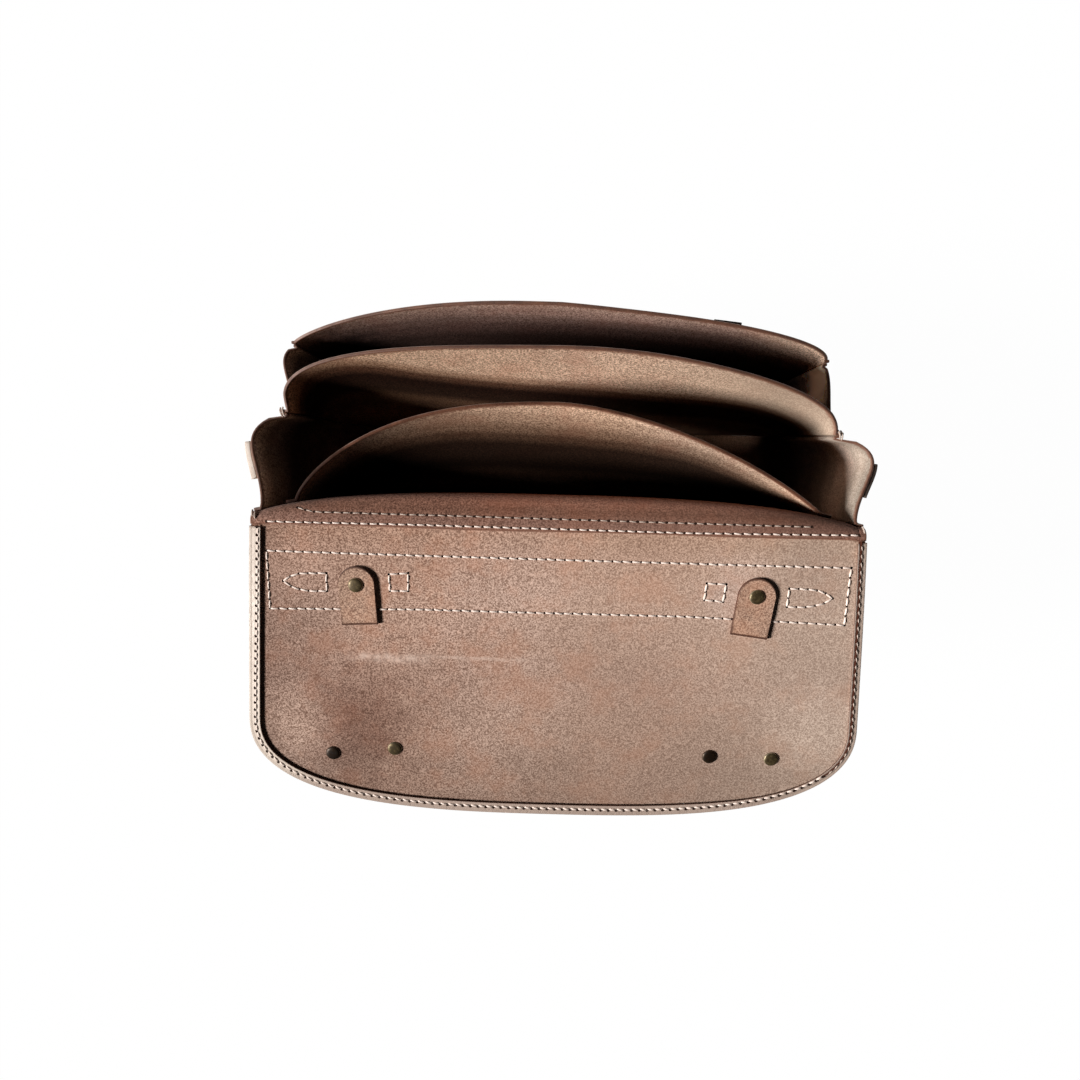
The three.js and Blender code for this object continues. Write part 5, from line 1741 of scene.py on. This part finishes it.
def rivetSetTree():
    sockets = {"Body": "Object", "Seed": rivetShape["seed"], "Finish": "Material"}
    tree, given, made = newTree("rivetSet", sockets)
    body = addNode(tree, "GeometryNodeObjectInfo", feeds={"Object": given["Body"]}).outputs["Geometry"]
    spin = addNode(tree, "FunctionNodeRandomValue", {"data_type": "FLOAT"}, {"Seed": given["Seed"]})
    spin.inputs[3].default_value = 6.28
    points = addNode(tree, "GeometryNodeMeshToPoints", feeds={"Mesh": given["Geometry"]}).outputs[0]
    placed = instanceOn(tree, points, body, faceAlong(tree, (1, 0, 0)))
    finishTree(tree, given, made, turnInstances(tree, placed, spin.outputs[1]))
    return tree


def flapUp(x, y):
    alongX = Vector((2.0, 0, flapLevel(x + 1, y) - flapLevel(x - 1, y)))
    alongY = Vector((0, 2.0, flapLevel(x, y + 1) - flapLevel(x, y - 1)))
    return tuple(alongX.cross(alongY).normalized())


rivetSet = rivetSetTree()
layer = leather["flap"] / 2 + leather["gap"]
rivetKinds = [
    ("tab_rivets", "tabs", layer + leather["tab"], -(layer + 2 * leather["strap"] + 2 * leather["gap"])),
    ("flap_rivets", "flap", layer - rivetShape["sunk"], -(layer + leather["strap"] + leather["gap"])),
]
for name, kind, seat, foot in rivetKinds:
    body = rivetBody(name + "_body", seat, foot)
    marks = rivetShape[kind]
    spots = [([(x, y, flapLevel(x, y))], [flapUp(x, y)]) for node, x, y in marks]
    values = {"Body": body, "Seed": rivetShape["seed"], "Finish": finishBrass}
    piece = runTree(pathMesh(name, spots), rivetSet, values)
    bpy.data.objects.remove(body)
    placePiece(piece, [node for node, x, y in marks])
print("rivets: done")

# Straps on the outside of the rear gusset
sideStrapShape = {
    "from": 0.33, "to": 0.70, "length": 78, "start": 0.002, "probe": 0.02, "clear": 0.15, "roundness": 0.8,
    "rows": 30, "columns": 16, "places": [("side_strap_left", 0, 4.4), ("side_strap_right", 1, 2.4)],
}


def sideStrapGrid(side, thick):
    run = rearGusset["nearTop"] - seam["floor"] - seam["corner"]
    stand = leather["gusset"] / 2 + thick / 2 + leather["gap"] + sideStrapShape["clear"]
    outward = -1 if side == 0 else 1
    probe = sideStrapShape["probe"]

    def point(down, over):
        share = sideStrapShape["length"] / run * down + sideStrapShape["start"]
        across = between(sideStrapShape["from"], sideStrapShape["to"], over)
        here = gussetWeb(rearGusset, "side", side, share, across)
        lower = gussetWeb(rearGusset, "side", side, share + probe, across) - here
        beside = gussetWeb(rearGusset, "side", side, share, across + probe) - here
        normal = np.cross(lower, beside)
        normal /= np.linalg.norm(normal)
        return here + normal * (stand if normal[0] * outward >= 0 else -stand)
    return gridOf(sideStrapShape, point)


for name, side, thick in sideStrapShape["places"]:
    finishes = (finishSideStrap, finishSideStrap, finishPaleEdge)
    piece = sheetShell(name + "_leaf", sideStrapGrid(side, thick), thick, finishes,
                       roundness=sideStrapShape["roundness"])
    placePiece(piece, [name])

# Straps on the outside of the front panel
frontStrapShape = {
    "half": 9.5, "tip": 9, "clear": 0.6, "crestZ": 240, "below": 4, "roundness": 0.7,
    "rows": 52, "columns": 14,
    "places": [("front_strap_left", -111, -22, 114), ("front_strap_right", 115.5, -5, 123)],
}


def frontStrapGrid(middle, over, length):
    stand = leather["panel"] / 2 + leather["strap"] / 2 + leather["gap"] + frontStrapShape["clear"]
    side = 0 if middle < 0 else 1
    half = bowHalf(frontShape, side, frontStrapShape["crestZ"])
    rise = bowRise(frontShape, side, angleAt(frontShape, side, abs(middle) / half))
    top = between(frontShape["cornerTop"], frontShape["crestTop"], rise) + over

    def depth(x, z):
        return panelDepth(frontShape, x, min(z, top - over - frontStrapShape["below"]))

    def point(down, aside):
        share = between(-1, 1, aside)
        x = middle + frontStrapShape["half"] * share
        z = top - (length - frontStrapShape["tip"] * share * share) * down
        normal = np.array((depth(x - 1, z) - depth(x + 1, z), 2.0, depth(x, z - 1) - depth(x, z + 1)))
        normal /= np.linalg.norm(normal)
        return np.array((x, depth(x, z), z)) + normal * stand
    return gridOf(frontStrapShape, point)


for name, middle, over, length in frontStrapShape["places"]:
    grid = frontStrapGrid(middle, over, length)
    finishes = (finishFrontStrap, finishFrontStrap, finishFrontStrap)
    piece = sheetShell(name + "_leaf", grid, leather["strap"], finishes,
                       roundness=frontStrapShape["roundness"])
    placePiece(piece, [name])

strapSewing = {
    "insetSteps": 2,
    "look": {"pitch": 5.5, "dash": 4.1, "thread": 0.42, "crown": 0.8, "sink": 0.35, "slant": 0.08, "seed": 18,
             "hole": 0.55, "stretch": 1.3, "threadFinish": finishDullThread},
}


def frontStrapRuns(middle, over, length):
    points = np.array(frontStrapGrid(middle, over, length))
    normals = gridNormals(points)
    if normals[0, 0, 1] < 0:
        normals = -normals
    raised = points + normals * (leather["strap"] / 2 + sewing["lift"])
    first = strapSewing["insetSteps"]
    lastRow, lastColumn = frontStrapShape["rows"] - first, frontStrapShape["columns"] - first
    rows, columns = range(first, lastRow + 1), range(first, lastColumn + 1)
    sides = [[(row, first) for row in rows], [(lastRow, column) for column in columns],
             [(row, lastColumn) for row in reversed(rows)], [(first, column) for column in reversed(columns)]]
    return [([raised[spot] for spot in side], [normals[spot] for spot in side]) for side in sides]


strapRuns = []
for name, middle, over, length in frontStrapShape["places"]:
    strapRuns += frontStrapRuns(middle, over, length)
sewRuns("strap_stitch", strapRuns, strapSewing["look"])
print("straps: done")

# Seams of the panels to the gussets: a row on each outer face, about half way across the flange
panelFace = leather["panel"] / 2 + sewing["lift"]
gussetFace = panelFace + leather["gusset"] + seam["clear"]
seamSewing = {
    "out": 3.3, "short": 3,
    "rows": [(backShape, 276, -1, panelFace), (backShape, 276, 1, gussetFace),
             (dividerShape, 234, -1, gussetFace), (dividerShape, 234, 1, gussetFace),
             (frontShape, 216, -1, gussetFace), (frontShape, 216, 1, panelFace)],
    "look": {"pitch": 6.0, "dash": 4.5, "thread": 0.42, "crown": 1.0, "sink": 0.35, "slant": 0.1, "seed": 14,
             "hole": 0.6, "stretch": 1.3},
}


def seamRun(shape, top, facing, stand):
    points = []
    for part, side, share in seamRuns():
        root = seamRoot(shape, part, side, share, top - seamSewing["short"])
        out = seamSewing["out"] * flangeShare(shape, root[1])
        points.append(tuple(onSeam(shape, root, out, facing * stand)))
    return points, [(0, facing, 0)] * len(points)


seamLines = [seamRun(*row) for row in seamSewing["rows"]]
sewRuns("seam_stitch", seamLines, seamSewing["look"])

# Locking stitches over the ends of the divider's seams and of the roll: x and the middle of each in y and z
knotSewing = {
    "places": [(-192.9, 16.4, 248.2), (-194.8, 16.0, 247.6), (193.9, 9.6, 248.2), (195.8, 9.2, 247.6),
               (-202.6, -53.2, 280.6), (-200.4, -54.4, 281.6), (202.4, -53.4, 280.6)],
    "reach": 3.4,
    "look": {"pitch": 6.8, "dash": 6.2, "thread": 0.62, "crown": 3.4, "sink": 1.2, "slant": 0.25, "seed": 17,
             "threadFinish": finishDullThread},
}
knotRuns = []
for x, y, z in knotSewing["places"]:
    ends = [(x, y - knotSewing["reach"], z), (x, y + knotSewing["reach"], z)]
    knotRuns.append((ends, [(0, 0, 1)] * 2))
sewRuns("seam_knots", knotRuns, knotSewing["look"])
print("seams: done")
